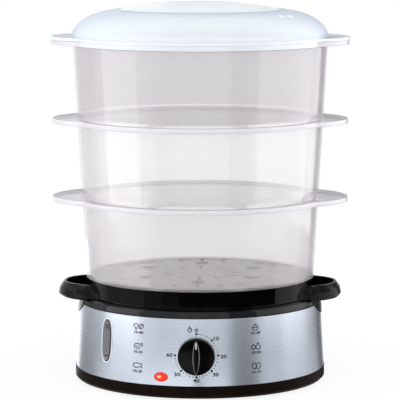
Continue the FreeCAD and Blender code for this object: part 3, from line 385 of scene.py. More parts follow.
@dataclass(frozen=True)
class Clear(Finish):
    """Lightly frosted clear plastic: mostly see-through, and more solid where the surface turns away.

    Body and edge are how solid it looks when faced and when seen along it. The side colour, where there is
    one, takes over from the colour as the surface turns away. Shine is the coat's index of refraction.
    """

    body: float = 0.34
    edge: float = 0.66
    falloff: float = 2.0
    side: Colour | None = None
    side_falloff: float = 3.0
    shine: float = 1.5
    coat_roughness: float = 0.12
    haze_scale: Triple = (26.0, 26.0, 9.0)
    haze_depth: float = 0.12

    def build(self, graph: Graph) -> None:
        """How solid it is: body + (edge - body) facing^falloff, times a haze about 1."""
        roughness, normal = self.texture(graph)
        haze = graph.noise(*(axis * scale for axis, scale in zip(graph.object_axes(), self.haze_scale)))
        weight = graph.node("ShaderNodeLayerWeight", inputs={"Blend": 0.5})
        facing = graph.signal(weight, "Facing")
        amount = self.body + (self.edge - self.body) * facing**self.falloff
        amount = amount * (1.0 - self.haze_depth / 2 + haze * self.haze_depth)
        clear = graph.node("ShaderNodeBsdfTransparent", inputs={0: WHITE}).outputs[0]
        tone = graph.mix(facing**self.side_falloff, self.colour, self.side or self.colour)
        solid = self.principled(
            graph, Base_Color=tone, Roughness=roughness, Normal=normal, Coat_IOR=self.shine
        )
        graph.finish(graph.mix_shaders(amount, clear, solid))


@dataclass(frozen=True)
class Glow(Finish):
    """Lit lens: the finish gives off light, with the core's colour at its centre and the glow's round it."""

    glow: Colour = (1.0, 0.1, 0.02)
    core: Colour = (1.0, 0.62, 0.25)
    centre: Triple = (0.0, 0.0, 0.0)
    reach: float = 0.007
    flatten: float = 1.7
    fade: tuple[Pair, ...] = ((0.0, 1.0), (0.38, 0.9), (0.7, 0.0))
    strength: float = 1.0

    def build(self, graph: Graph) -> None:
        """The core's share falls with the distance from the centre over the reach, faster up and down."""
        roughness, normal = self.texture(graph)
        x, y, z = (axis - middle for axis, middle in zip(graph.object_axes(), self.centre))
        away = (x**2.0 + y**2.0 + (z * self.flatten) ** 2.0) ** 0.5 / self.reach
        share = graph.ramp(away, *self.fade)
        light = graph.mix(share, self.glow, self.core)
        shader = self.principled(
            graph, Roughness=roughness, Normal=normal, Emission_Color=light, Emission_Strength=self.strength
        )
        graph.finish(shader)


class Look(Enum):
    """Every finish on the steamer."""

    GLOSS_BLACK = Polished("gloss_black", (0.0010, 0.0010, 0.0011), 0.08, specular=0.07)
    KNOB_BLACK = Finish("knob_black", (0.0012, 0.0012, 0.0012), 0.12, specular=0.10)
    # Lighter, faintly metallic grey for the grip's shoulders: painted highlight along the knob grip's edges.
    KNOB_EDGE = Finish("knob_edge", (0.14, 0.14, 0.145), 0.10, metallic=0.15)
    BASE_BLACK = Finish("base_moulding", (0.0052, 0.0026, 0.0014), 0.42, specular=0.035, relief=0.00004)
    STEEL = Brushed("brushed_steel", (0.49, 0.53, 0.605), 0.27, metallic=1.0)
    CHROME = Finish("bezel_chrome", (0.60, 0.64, 0.71), 0.38, metallic=1.0)
    TIER = Clear(
        "tier_clear", (0.78, 0.735, 0.765), 0.07, coat=1.0, specular=0.8, body=0.17, edge=0.64,
        side=(0.62, 0.60, 0.66), shine=2.1, relief=0.0000004,
    )
    RIM = Clear("rim_clear", (0.47, 0.435, 0.475), 0.2)
    EDGE = Clear("edge_clear", (0.75, 0.73, 0.78), 0.14, specular=0.4, body=0.84, edge=0.92)
    COVER = Clear(
        "cover_clear", (0.90, 0.95, 0.99), 0.24, specular=0.05, body=0.58, edge=0.92, falloff=1.5,
        side=(0.47, 0.55, 0.70),
    )
    CROWN = Clear("crown_clear", (0.93, 0.97, 1.0), 0.24, specular=0.1, body=0.58, edge=0.86, falloff=1.5)
    COVER_RIM = Clear("cover_rim", (0.50, 0.56, 0.68), 0.2)
    COVER_EDGE = Clear("cover_edge", (0.86, 0.90, 0.96), 0.14, specular=0.4, body=0.84, edge=0.94)
    LAMP = Glow(
        "lamp_red", (0.35, 0.008, 0.003), 0.10, specular=0.25, glow=(0.58, 0.018, 0.006),
        core=(1.0, 0.78, 0.42), centre=(-0.0352, -0.1180, 0.0226), reach=0.0048,
    )
    GAUGE = Finish("gauge_grey", (0.135, 0.139, 0.158), 0.22)
    # Dark band round the level window's pane: painted shade inside its recess.
    GAUGE_DARK = Finish("gauge_painted_shade", (0.045, 0.045, 0.05), 0.4, specular=0.2)
    GAUGE_RIM = Finish("gauge_rim", (0.93, 0.94, 0.96), 0.2)
    INK = Finish("print_grey", (0.012, 0.013, 0.017), 0.7, specular=0.1)
    # White line on the knob grip's top: painted highlight standing in for the highlight streak there.
    POINTER = Finish("grip_painted_highlight", (0.86, 0.86, 0.86), 0.35)
    RUBBER = Finish("moulded_rubber", (0.03, 0.03, 0.03), 0.8, relief=0.00006)
    HEATER = Finish("heater_coat", (0.045, 0.045, 0.048), 0.45, relief=0.00004)
    SHEATH = Finish("tube_sheath", (0.32, 0.31, 0.30), 0.4, metallic=1.0)
    ZINC = Finish("zinc_steel", (0.62, 0.62, 0.63), 0.35, metallic=1.0)
    BRASS = Finish("stamped_brass", (0.72, 0.52, 0.22), 0.3, metallic=1.0)
    IVORY = Finish("ivory_plastic", (0.76, 0.75, 0.70), 0.5)
    PHENOLIC = Finish("phenolic", (0.35, 0.27, 0.18), 0.5)
    SLEEVE = Finish("silicone_sleeve", (0.68, 0.68, 0.65), 0.55)


# --------------------------------------------------------------------------------- surfaces
@dataclass
class Skin:
    """A mesh being gathered: points in millimetres and the faces between them."""

    points: list[np.ndarray] = field(default_factory=list)
    quads: list[np.ndarray] = field(default_factory=list)
    bands: list[np.ndarray] = field(default_factory=list)
    triangles: list[np.ndarray] = field(default_factory=list)
    count: int = 0

    def add_grid(
        self, grid: np.ndarray, wrap_rows: bool = False, wrap_columns: bool = True,
        looks: Sequence[int] = (0,),
    ) -> Skin:
        """Adds the surface through a grid of points.

        Each face joins (row, column) to the next of both. Wrapping joins the last row or column to the first.

        Args:
            grid: points, rows by columns by 3.
            wrap_rows: closes the surface from its last row to its first.
            wrap_columns: closes it from its last column to its first.
            looks: number of the finish of each band between two rows; the last one goes on for the rest.

        Returns:
            The skin itself.
        """
        rows, columns = grid.shape[:2]
        row = np.arange(rows if wrap_rows else rows - 1)[:, None]
        column = np.arange(columns if wrap_columns else columns - 1)[None, :]
        here, ahead = row * columns, (row + 1) % rows * columns
        beside = (column + 1) % columns
        quads = np.stack([here + column, here + beside, ahead + beside, ahead + column], axis=-1)
        band = np.array([looks[min(i, len(looks) - 1)] for i in range(quads.shape[0])])
        self.bands.append(np.repeat(band, quads.shape[1]))
        self.quads.append(quads.reshape(-1, 4) + self.count)
        self.points.append(grid.reshape(-1, 3))
        self.count += rows * columns
        return self

    def add_triangles(self, points: np.ndarray, triangles: np.ndarray) -> Skin:
        """Adds loose triangles, given their points and three point numbers each."""
        self.triangles.append(triangles + self.count)
        self.points.append(points)
        self.count += len(points)
        return self

    def object(
        self, name: str, *looks: Look | bpy.types.Material, sharp: float = 34.0, turn_out: bool = True
    ) -> bpy.types.Object:
        """Makes the object.

        Args:
            name: the object's name.
            looks: its finishes, in the order of the bands' numbers.
            sharp: edges that bend by more than this many degrees stay crisp.
            turn_out: works the faces' direction out again, for closed shells.

        Returns:
            The object, at the origin, with its place in its mesh.
        """
        mesh = bpy.data.meshes.new(name)
        faces = [face for block in self.quads + self.triangles for face in block.tolist()]
        mesh.from_pydata((np.concatenate(self.points) * MM).tolist(), [], faces)
        numbers = np.zeros(len(faces), dtype=np.int32)
        if self.bands:
            banded = np.concatenate(self.bands)
            numbers[: len(banded)] = banded
        mesh.polygons.foreach_set("material_index", numbers)
        work = bmesh.new()
        work.from_mesh(mesh)
        bmesh.ops.remove_doubles(work, verts=work.verts, dist=MERGE_DISTANCE)
        if turn_out:
            bmesh.ops.recalc_face_normals(work, faces=work.faces)
        work.to_mesh(mesh)
        work.free()
        mesh.polygons.foreach_set("use_smooth", np.ones(len(mesh.polygons), dtype=bool))
        mesh.set_sharp_from_angle(angle=math.radians(sharp))
        for look in looks:
            mesh.materials.append(look.value.material() if isinstance(look, Look) else look)
        made = bpy.data.objects.new(name, mesh)
        bpy.context.collection.objects.link(made)
        LOG.info("%s: %d faces", name, len(mesh.polygons))
        return made


def points_at(x: Any, y: Any, z: Any) -> np.ndarray:
    """Points from their three coordinates, spread to a common shape."""
    return np.stack(np.broadcast_arrays(x, y, z), axis=-1)


def all_round(steps: int) -> np.ndarray:
    """Angles evenly round a full turn, in radians."""
    return np.linspace(0.0, 2 * np.pi, steps, endpoint=False)


def revolve(profile: np.ndarray, angle: np.ndarray) -> np.ndarray:
    """Turns a profile about Z: x = r cos a, y = r sin a, z = z.

    Args:
        profile: (radius, height) rows.
        angle: the angles that it passes, in radians.

    Returns:
        A grid of points, profile by angles by 3.
    """
    radius = profile[:, :1]
    return points_at(radius * np.cos(angle), radius * np.sin(angle), profile[:, 1:2])


def rounded(corners: Sequence[Pair], radius: float, steps: int = 4) -> np.ndarray:
    """Rounds the inner corners of an open profile.

    Each corner gives way to a curve (1-t)^2 A + 2 t (1-t) B + t^2 C, from a point A before it to C after it,
    where B is the corner, and A and C lie a radius away or half the side, whichever is less.

    Args:
        corners: the profile's points.
        radius: how far from each corner the curve starts.
        steps: spans in each curve.

    Returns:
        The rounded profile.
    """
    points = np.array(corners, dtype=float)
    middle = points[1:-1]

    def away(neighbour: np.ndarray) -> np.ndarray:
        """Point on the way from each corner to its neighbour."""
        side = neighbour - middle
        length = np.linalg.norm(side, axis=1, keepdims=True)
        return middle + side / length * np.minimum(radius, length / 2)

    start, end = away(points[:-2]), away(points[2:])
    t = np.linspace(0.0, 1.0, steps + 1)[None, :, None]
    curves = (1 - t) ** 2 * start[:, None] + 2 * t * (1 - t) * middle[:, None] + t**2 * end[:, None]
    return np.concatenate([points[:1], curves.reshape(-1, 2), points[-1:]])


@dataclass(frozen=True)
class TabbedOutline:
    """Plan of a round rim with a tab at each side, joined by hollow curves."""

    rim: float
    tip: float
    tab_radius: float = 62.0
    blend: float = 12.0
    steps: int = 120

    def sample(self) -> tuple[np.ndarray, np.ndarray]:
        """Points and outward normals, counted round from the right-hand tab's tip.

        A quarter runs along the tab's circle, back along the hollow curve that touches both circles, and on
        along the rim's circle. The other quarters mirror it.

        Returns:
            Points and normals, each count by 2.
        """
        centre = self.tip - self.tab_radius
        to_rim = self.rim + self.blend
        to_tab = self.tab_radius + self.blend
        hollow_x = (to_rim**2 - to_tab**2 + centre**2) / (2 * centre)
        hollow_y = math.sqrt(to_rim**2 - hollow_x**2)
        tab_end = math.atan2(hollow_y, hollow_x - centre)
        rim_start = math.atan2(hollow_y, hollow_x)
        tab_length = self.tab_radius * tab_end
        hollow_end = tab_length + self.blend * (tab_end - rim_start)
        s = np.linspace(0.0, hollow_end + self.rim * (np.pi / 2 - rim_start), self.steps + 1)[:, None]
        parts = [s < tab_length, (s >= tab_length) & (s < hollow_end)]
        turned = tab_end - (s - tab_length) / self.blend
        angle = np.select(parts, [s / self.tab_radius, turned], rim_start + (s - hollow_end) / self.rim)
        unit = np.concatenate([np.cos(angle), np.sin(angle)], axis=-1)
        centres = np.select(parts, [np.array([centre, 0.0]), np.array([hollow_x, hollow_y])], np.zeros(2))
        radii = np.select(parts, [self.tab_radius, -self.blend], self.rim)
        return self.mirrored(centres + unit * radii), self.mirrored(unit)

    @staticmethod
    def mirrored(quarter: np.ndarray) -> np.ndarray:
        """Mirrors a quarter into the closed round."""
        second = quarter[::-1] * np.array([-1.0, 1.0])
        return np.concatenate([quarter[:-1], second[:-1], -quarter[:-1], -second[:-1]])


@dataclass(frozen=True)
class Station:
    """One line of a rim's section, carried round: on a circle, or a distance inside the outline."""

    z: float
    radius: float | None = None
    inset: float = 0.0


def soft_edge(low: float, high: float, soft: float) -> list[Station]:
    """Outer edge of a rim from one height to another, with both its corners softened."""
    quarter = 0.25 * soft
    return [
        Station(low, inset=soft),
        Station(low + quarter, inset=quarter),
        Station(low + soft),
        Station(high - soft),
        Station(high - quarter, inset=quarter),
        Station(high, inset=soft),
    ]


def carry(outline: TabbedOutline, stations: Sequence[Station]) -> np.ndarray:
    """Carries a section round a tabbed outline.

    A station on a circle is radius times the direction of the outline's point. One on the outline is the
    point less inset times its normal.

    Args:
        outline: the plan.
        stations: the section's lines, in order.

    Returns:
        A grid of points, stations by outline points by 3.
    """
    points, normals = outline.sample()
    direction = points / np.linalg.norm(points, axis=1, keepdims=True)
    rows = [(s.z, s.radius or 0.0, s.inset, s.radius is not None) for s in stations]
    height, radius, inset, on_circle = np.array(rows).T[:, :, None, None]
    plan = np.where(on_circle > 0, radius * direction, points - inset * normals)
    return points_at(plan[..., 0], plan[..., 1], height[..., 0])


def mesh_triangles(mesh: bpy.types.Mesh) -> tuple[np.ndarray, np.ndarray]:
    """Points and triangles of a mesh.

    Args:
        mesh: any mesh.

    Returns:
        Points, count by 3, in the mesh's own unit, and point numbers, count by 3.
    """
    mesh.calc_loop_triangles()
    points = np.empty(len(mesh.vertices) * 3)
    mesh.vertices.foreach_get("co", points)
    triangles = np.empty(len(mesh.loop_triangles) * 3, dtype=np.int32)
    mesh.loop_triangles.foreach_get("vertices", triangles)
    return points.reshape(-1, 3), triangles.reshape(-1, 3)


def node_triangles(node: str) -> tuple[np.ndarray, np.ndarray]:
    """Points in millimetres and triangles of a CAD node."""
    points, triangles = mesh_triangles(FRAME["nodes"][node].data)
    return points / MM, triangles


def node_copy(node: str, look: Look, sharp: float = 30.0) -> bpy.types.Object:
    """Copy of a CAD node with its points merged and its curved faces shaded smooth, shown in its place.

    Args:
        node: the node's name.
        look: the copy's finish.
        sharp: edges that bend by more than this many degrees stay crisp.

    Returns:
        The copy.
    """
    skin = Skin().add_triangles(*node_triangles(node))
    made = skin.object(node + "_shown", look, sharp=sharp, turn_out=False)
    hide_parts(node)
    return made


# --------------------------------------------------------------------------------- bowls and lid
@dataclass
class Tier:
    """One steaming bowl: tapered wall, rim with two tabs, slotted floor."""

    node: str
    body: str
    overhang: float
    wall: float = 2.0
    floor: float = 2.0
    rib_depth: float = 3.0
    draft: float = 4.3
    plate: float = 2.2
    lip_depth: float = 4.8
    lip: float = 1.8
    soft: float = 0.7
    bevel: float = 0.3
    step: float = 0.35
    clearance: float = 0.05

    def __post_init__(self) -> None:
        """Reads the bowl's place from the frame."""
        low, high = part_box(self.node)
        self.top = high[2] / MM
        self.bottom = low[2] / MM + self.rib_depth
        self.rim = high[1] / MM
        self.tip = high[0] / MM
        self.high_radius = self.rim - self.overhang
        self.low_radius = self.high_radius - self.draft

    def wall_skin(self) -> Skin:
        """Wall and rim as one closed section carried round the tabbed outline.

        It runs up the outside of the wall, out under the plate, down and round the lip, in over the rim's
        stepped top and down the inside. Finishes: 0 wall, 1 lip, 2 plate.
        """
        top, lip, high = self.top, self.lip, self.high_radius
        foot = self.bottom + self.clearance
        under = top - self.plate
        hem = top - self.lip_depth
        inner_low, inner_high = self.low_radius - self.wall, high - self.wall
        section = [
            Station(foot, inner_low),
            Station(foot, self.low_radius - self.bevel),
            Station(foot + self.bevel, self.low_radius),
        ]
        has_plate = self.overhang > lip + 1.5
        if has_plate:
            section += [
                Station(under - 1.0, high - 0.05),
                Station(under, high + 0.8),
                Station(under, inset=lip + 0.5),
                Station(under - 0.6, inset=lip),
                Station(hem + self.soft, inset=lip),
            ]
        else:
            section += [Station(hem - 0.4, high - 0.25)]
        section += [Station(hem, inset=lip - self.soft)] + soft_edge(hem, top, self.soft)
        section += [
            Station(top, inset=lip + 0.6),
            Station(top - self.step, inset=lip + 1.2),
            Station(top - self.step, high + 0.4),
            Station(top, high - 0.2),
            Station(top, inner_high + 0.4),
            Station(top - 0.4, inner_high),
            Station(self.bottom + self.floor + 1.5, inner_low),
        ]
        looks = [0] * 3 + ([2] * 4 if has_plate else [1]) + [1] * 7 + [2] * 6 + [0]
        return Skin().add_grid(carry(TabbedOutline(self.rim, self.tip), section), wrap_rows=True, looks=looks)

    def floor_skin(self) -> Skin:
        """The frame's own triangles below the floor's top and inside the wall: floor, slots and ribs."""
        points, triangles = node_triangles(self.node)
        inside = np.hypot(points[:, 0], points[:, 1]) < self.low_radius - self.wall + 0.12
        low = points[:, 2] < self.bottom + self.floor + 0.05
        kept = triangles[(inside & low)[triangles].all(axis=1)]
        used, numbers = np.unique(kept, return_inverse=True)
        return Skin().add_triangles(points[used], numbers.reshape(-1, 3))

    def build(self) -> None:
        """Makes the wall and the floor, in place of the node."""
        wall = self.wall_skin().object(self.node + "_wall", Look.TIER, Look.EDGE, Look.RIM)
        floor = self.floor_skin().object(self.node + "_floor", Look.TIER, turn_out=False)
        for part in (wall, floor):
            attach(part, self.body)
        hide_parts(self.node)


@dataclass
class Cover:
    """Domed lid with a raised rim, two tabs and two steam vents."""

    node: str = "lid"
    body: str = "cover"
    wall: float = 2.0
    plate: float = 2.2
    skirt: float = 4.6
    skirt_wall: float = 1.3
    skirt_gap: float = 58.0
    bead: float = 0.9
    soft: float = 0.6
    bevel: float = 0.3
    crease: float = 84.0
    shoulder_rise: float = 28.6
    shoulder_power: float = 1.85
    vents: Pair = (50.0, 58.0)
    vent_ring: float = 104.0
    vent_stretch: Pair = (0.8, 1.25)

    def __post_init__(self) -> None:
        """Reads the lid's place from the frame."""
        low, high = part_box(self.node)
        self.seat = low[2] / MM + self.skirt
        self.top = high[2] / MM
        self.rim = high[1] / MM
        self.tip = high[0] / MM
        self.start = self.rim - self.skirt_wall - self.bevel
        self.shoulder = self.seat + self.shoulder_rise

    def dome(self, inset: float) -> tuple[np.ndarray, np.ndarray]:
        """Radii and heights up the dome, from its root to its middle.

        The shoulder is a quarter superellipse: r = c + (s - c) cos^(2/n) t, z = h sin^(2/n) t. The crown
        above the crease falls away with the square of the radius.

        Args:
            inset: distance inside the outer surface.

        Returns:
            Radii and heights.
        """
        t = np.linspace(0.0, np.pi / 2, 22)
        power = 2 / self.shoulder_power
        root = self.seat + self.plate + 0.8
        radius = self.crease + (self.start - inset - self.crease) * np.cos(t) ** power
        height = root + (self.shoulder - root - inset) * np.sin(t) ** power
        crown_radius = np.linspace(self.crease, 0.0, 16)[1:]
        bulge = 1 - (crown_radius / self.crease) ** 2
        crown = self.shoulder + (self.top - self.shoulder) * bulge - inset
        return np.concatenate([radius, crown_radius]), np.concatenate([height, crown])

    def dome_skin(self) -> Skin:
        """One section from the middle of the inside, out under the rim, round it and up over the dome.

        Finishes: 0 shoulder, 1 rim's edge, 2 plate, 3 crown.
        """
        inner, outer = ([Station(z, max(r, 0.0)) for r, z in zip(*self.dome(d))] for d in (self.wall, 0.0))
        low, start = self.seat, self.start
        plate = low + self.plate
        high = plate + self.bead
        section = inner[::-1] + [
            Station(low + self.bevel, start - self.wall),
            Station(low, start - self.wall + self.bevel),
            Station(low, start - 0.2),
            Station(low, inset=self.bead + self.soft),
        ]
        section += soft_edge(low, high, self.soft) + [
            Station(high, inset=self.soft + 0.6),
            Station(plate, inset=self.soft + 1.4),
            Station(plate, inset=self.soft + 1.8),
            Station(plate, start + 0.6),
            Station(plate + self.bevel, start + 0.1),
        ]
        section += outer
        looks = [0] * (len(inner) + 2) + [2] + [1] * 9 + [2] * 2 + [0] * 23 + [3]
        return Skin().add_grid(carry(TabbedOutline(self.rim, self.tip), section), looks=looks)

    def crease_skin(self) -> Skin:
        """Low bead on the line where the shoulder meets the crown."""
        r, z = self.crease, self.shoulder
        corners = [(r + 1.0, z - 0.3), (r + 0.5, z + 0.45), (r - 0.5, z + 0.55), (r - 1.1, z - 0.2)]
        return Skin().add_grid(revolve(rounded(corners, 0.4), all_round(192)))

    def skirt_skin(self) -> Skin:
        """Skirt below the seat, a thin ring left open where the bowl's tabs pass."""
        outer, inner = self.rim, self.rim - self.skirt_wall
        hem = self.seat - self.skirt
        section = rounded([(inner, self.seat), (inner, hem), (outer, hem), (outer, self.seat)], 0.4)
        gap = math.asin(self.skirt_gap / self.rim)
        half = np.linspace(gap, np.pi - gap, 90)
        skin = Skin()
        for angle in (half, half + np.pi):
            skin.add_grid(revolve(section, angle), wrap_rows=True, wrap_columns=False)
        return skin

    def vent_skin(self) -> Skin:
        """Two small raised ovals on the shoulder, tipped to lie square to the dome there."""
        radii, heights = (values[::-1] for values in self.dome(0.0))
        height, beyond = np.interp([self.vent_ring, self.vent_ring + 1], radii, heights)
        slope = beyond - height
        section = rounded([(0.0, 0.1), (2.2, 0.1), (2.7, 0.7), (3.3, 0.4), (3.6, -0.4)], 0.3)
        x, y, z = np.moveaxis(revolve(section, all_round(40)), -1, 0)[..., None]
        down, along_stretch = self.vent_stretch
        skin = Skin()
        for angle in self.vents:
            turn = math.radians(angle - 90)
            outward = np.array([math.cos(turn), math.sin(turn), 0.0])
            along = np.array([-outward[1], outward[0], 0.0])
            out = (outward + np.array([0.0, 0.0, slope])) / math.hypot(1, slope)
            up = np.cross(out, along)
            centre = outward * self.vent_ring + np.array([0.0, 0.0, height])
            skin.add_grid(x * out * down + y * along * along_stretch + z * up + centre)
        return skin

    def build(self) -> None:
        """Makes the dome, the skirt, the vents and the crease, in place of the node."""
        dome = self.dome_skin().object(
            "lid_dome", Look.COVER, Look.COVER_EDGE, Look.COVER_RIM, Look.CROWN, sharp=40.0
        )
        skirt = self.skirt_skin().object("lid_skirt", Look.COVER_EDGE)
        vents = self.vent_skin().object("lid_vents", Look.COVER_EDGE)
        crease = self.crease_skin().object("lid_crease", Look.COVER_RIM, turn_out=False)
        for part in (dome, skirt, vents, crease):
            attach(part, self.body)
        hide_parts(self.node)


# --------------------------------------------------------------------------------- base
class Base:
    """Housing, tank, steel band and drip tray, which keep the frame's shapes with smooth shading."""

    def build(self) -> None:
        """Shows each in its finish."""
        for node, look, body in (
            ("base_housing", Look.BASE_BLACK, "base"),
            ("water_tank", Look.GLOSS_BLACK, "base"),
            ("steel_band", Look.STEEL, "base"),
            ("drip_tray", Look.GLOSS_BLACK, "tray"),
        ):
            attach(node_copy(node, look), body)


class Panel:
    """The steel's outer surface, which carries what is printed or stands on it."""

    def __init__(self) -> None:
        """Reads the steel's place from the frame."""
        low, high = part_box("steel_band")
        self.bottom = low[2] / MM
        self.top = high[2] / MM
        self.bottom_radius = high[0] / MM
        self.top_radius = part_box("water_tank")[1][1] / MM

    def wrap(self, flat: np.ndarray, degrees: float, height: float) -> np.ndarray:
        """Lays flat points on the steel.

        X runs round the band and Y up it: z = height + y, R tapers straight from the bottom to the top,
        angle = degrees + x / R, and the third number is added to the radius.

        Args:
            flat: points, any shape by 3, in millimetres.
            degrees: where the flat origin goes, counted from the front.
            height: the flat origin's height.

        Returns:
            The points in place.
        """
        z = height + flat[..., 1]
        share = (z - self.bottom) / (self.top - self.bottom)
        radius = self.bottom_radius + (self.top_radius - self.bottom_radius) * share
        angle = math.radians(degrees) + flat[..., 0] / radius
        reach = radius + flat[..., 2]
        return points_at(reach * np.sin(angle), -reach * np.cos(angle), z)


@dataclass
class Print:
    """Flat dark marks laid on the steel round an origin: dots, figures and small outlines."""

    panel: Panel
    lift: float = 0.06
    line: float = 0.80
    widen: float = 1.28
    boldness: float = 0.03
    degrees: float = 0.0
    height: float = 0.0
    skin: Skin = field(default_factory=Skin)

    def at(self, degrees: float, height: float) -> Print:
        """Moves the origin for what is printed next."""
        self.degrees, self.height = degrees, height
        return self

    def lay(self, x: np.ndarray, y: np.ndarray) -> np.ndarray:
        """Points a little off the steel, at distances across and up from the origin."""
        return self.panel.wrap(points_at(x, y, self.lift), self.degrees, self.height)

    def dot(self, x: float, y: float, radius: float) -> None:
        """Round dot."""
        disc = revolve(np.array([[0.0, 0.0], [radius, 0.0]]), all_round(16))
        self.skin.add_grid(self.lay(disc[..., 0] + x, disc[..., 1] + y))

    def stroke(self, path: Sequence[Pair] | np.ndarray, closed: bool = False) -> None:
        """Line of even width along a path.

        Each point gives two, half the width to either side along the path's normal.

        Args:
            path: points by 2.
            closed: joins the end to the start.
        """
        path = np.asarray(path)
        if closed:
            ahead = np.roll(path, -1, axis=0) - np.roll(path, 1, axis=0)
        else:
            ahead = np.gradient(path, axis=0)
        length = np.linalg.norm(ahead, axis=1, keepdims=True)
        side = np.stack([-ahead[:, 1], ahead[:, 0]], axis=-1) / np.maximum(length, 1e-9) * self.line / 2
        pair = np.stack([path - side, path + side])
        self.skin.add_grid(self.lay(pair[..., 0], pair[..., 1]), wrap_columns=closed)

    def oval(
        self, x: float, y: float, a: float, b: float,
        start: float = 0.0, end: float = 360.0, turn: float = 0.0,
    ) -> None:
        """Oval outline or part of one: (a cos t, b sin t), turned, then moved to (x, y)."""
        closed = end - start > 359.9
        t = np.radians(np.linspace(start, end, 36, endpoint=not closed))
        c, s = math.cos(math.radians(turn)), math.sin(math.radians(turn))
        px, py = a * np.cos(t), b * np.sin(t)
        self.stroke(np.stack([x + c * px - s * py, y + s * px + c * py], axis=-1), closed)

    def figures(self, x: float, y: float, text: str, size: float) -> None:
        """Plain figures, centred on a point, as triangles laid on the band."""
        curve = bpy.data.curves.new("figures", "FONT")
        curve.body = text
        curve.size = size
        curve.offset = size * self.boldness
        curve.align_x = "CENTER"
        curve.align_y = "CENTER"
        curve.resolution_u = 3
        holder = bpy.data.objects.new("figures", curve)
        mesh = bpy.data.meshes.new_from_object(holder)
        points, triangles = mesh_triangles(mesh)
        self.skin.add_triangles(self.lay(points[:, 0] * self.widen + x, points[:, 1] + y), triangles)
        bpy.data.objects.remove(holder)
        bpy.data.curves.remove(curve)
        bpy.data.meshes.remove(mesh)


@dataclass(frozen=True)
class Icon:
    """Small outline: ovals as Print.oval takes them, open paths, dots, and a range of minutes under it."""

    ovals: tuple[tuple[float, ...], ...]
    paths: tuple[tuple[Pair, ...], ...] = ()
    dots: tuple[Triple, ...] = ()
    minutes: str = ""


@dataclass
class PanelMarks:
    """All that is printed on the panel: dial, stopwatch, and a column of food icons at either side.

    On the left are rounded heads, a bird and a fish, and on the right a pot, two fruits and two eggs.
    """

    panel: Panel
    dial_height: float = 43.7
    degrees_a_minute: float = 4.5
    dot_ring: float = 20.7
    dot_radii: Pair = (1.15, 0.52)
    figure_ring: float = 26.0
    figure_size: float = 4.8
    upright_pull: float = 1.9
    drops: dict[int, float] = field(default_factory=lambda: {10: 2.2, 20: 1.3})
    caption_drop: float = 5.9
    caption_size: float = 3.5
    column_angle: float = 27.6
    rows: Triple = (69.3, 50.5, 31.8)
    stopwatch: Icon = Icon(
        ((-6.4, 0.0, 1.9, 1.9),),
        (((-6.4, 0.0), (-5.5, 1.0)), ((-6.4, 1.9), (-6.4, 2.9)), ((-7.1, 3.0), (-5.7, 3.0))),
    )
    left: tuple[Icon, ...] = (
        Icon(
            (
                (-2.7, 0.4, 2.5, 1.8, -40, 220),
                (-2.7, -1.6, 0.9, 1.4, 130, 410),
                (2.9, 0.0, 2.0, 2.7, 0, 360, -38),
            ),
            (((1.6, -1.7), (4.2, 1.7)),),
            minutes="15-40",
        ),
        Icon(
            (
                (-0.8, -0.2, 3.6, 2.4, 20, 330),
                (3.6, 1.2, 1.6, 1.1, -150, 150, 30),
                (-1.2, 0.3, 1.7, 1.0, 180, 360),
            ),
            minutes="10-35",
        ),
        Icon(
            ((-1.0, 0.0, 3.9, 2.2, 25, 335),),
            (((2.5, 0.9), (5.0, 2.3), (4.4, 0.0), (5.0, -2.3), (2.5, -0.9)),),
            ((-3.2, 0.5, 0.35),),
            minutes="10-20",
        ),
    )
    right: tuple[Icon, ...] = (
        Icon(
            ((0.0, -0.6, 3.1, 2.7, 180, 360), (0.0, 0.2, 2.6, 1.5, 0, 180)),
            (((-3.4, -0.6), (3.4, -0.6)), ((-0.9, 3.4), (0.2, 2.6), (-0.4, 2.2), (0.7, 1.6))),
            minutes="15-30",
        ),
        Icon(
            ((-2.6, -0.5, 2.0, 2.0), (2.4, -0.8, 2.4, 2.0, 120, 420), (2.4, 1.4, 1.3, 1.6, 0, 180)),
            (((-2.6, 1.6), (-2.2, 2.6)), ((2.4, 3.0), (2.9, 3.8))),
            minutes="10-20",
        ),
        Icon(((-2.2, 0.0, 2.1, 2.9, 0, 360, 12), (2.3, 0.0, 2.1, 2.9, 0, 360, -12)), minutes="12-15"),
    )

    def dial(self, ink: Print) -> None:
        """Dots round the knob, big ones every ten minutes, with their figures."""
        ink.at(0.0, self.dial_height)
        big, small = self.dot_radii
        for minute in range(0, 61, 2):
            turn = math.radians(minute * self.degrees_a_minute)
            x, y = math.sin(turn), math.cos(turn)
            tens = minute % 10 == 0
            ink.dot(x * self.dot_ring, y * self.dot_ring, big if tens else small)
            if tens:
                ring = self.figure_ring - (self.upright_pull if minute in (0, 40) else 0.0)
                ink.figures(x * ring, y * ring - self.drops.get(minute, 0.0), str(minute), self.figure_size)

    def icon(self, ink: Print, icon: Icon) -> None:
        """Prints an icon and its caption at the origin."""
        for oval in icon.ovals:
            ink.oval(*oval)
        for path in icon.paths:
            ink.stroke(path)
        for dot in icon.dots:
            ink.dot(*dot)
        if icon.minutes:
            ink.figures(0.0, -self.caption_drop, icon.minutes, self.caption_size)

    def build(self) -> None:
        """Prints everything as one piece."""
        ink = Print(self.panel)
        self.dial(ink)
        self.icon(ink.at(0.0, self.dial_height + self.figure_ring - 1.4), self.stopwatch)
        for angle, icons in ((-self.column_angle, self.left), (self.column_angle, self.right)):
            for height, icon in zip(self.rows, icons):
                self.icon(ink.at(angle, height), icon)
        marks = ink.skin.object("panel_print", Look.INK, turn_out=False)
        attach(marks, "base")


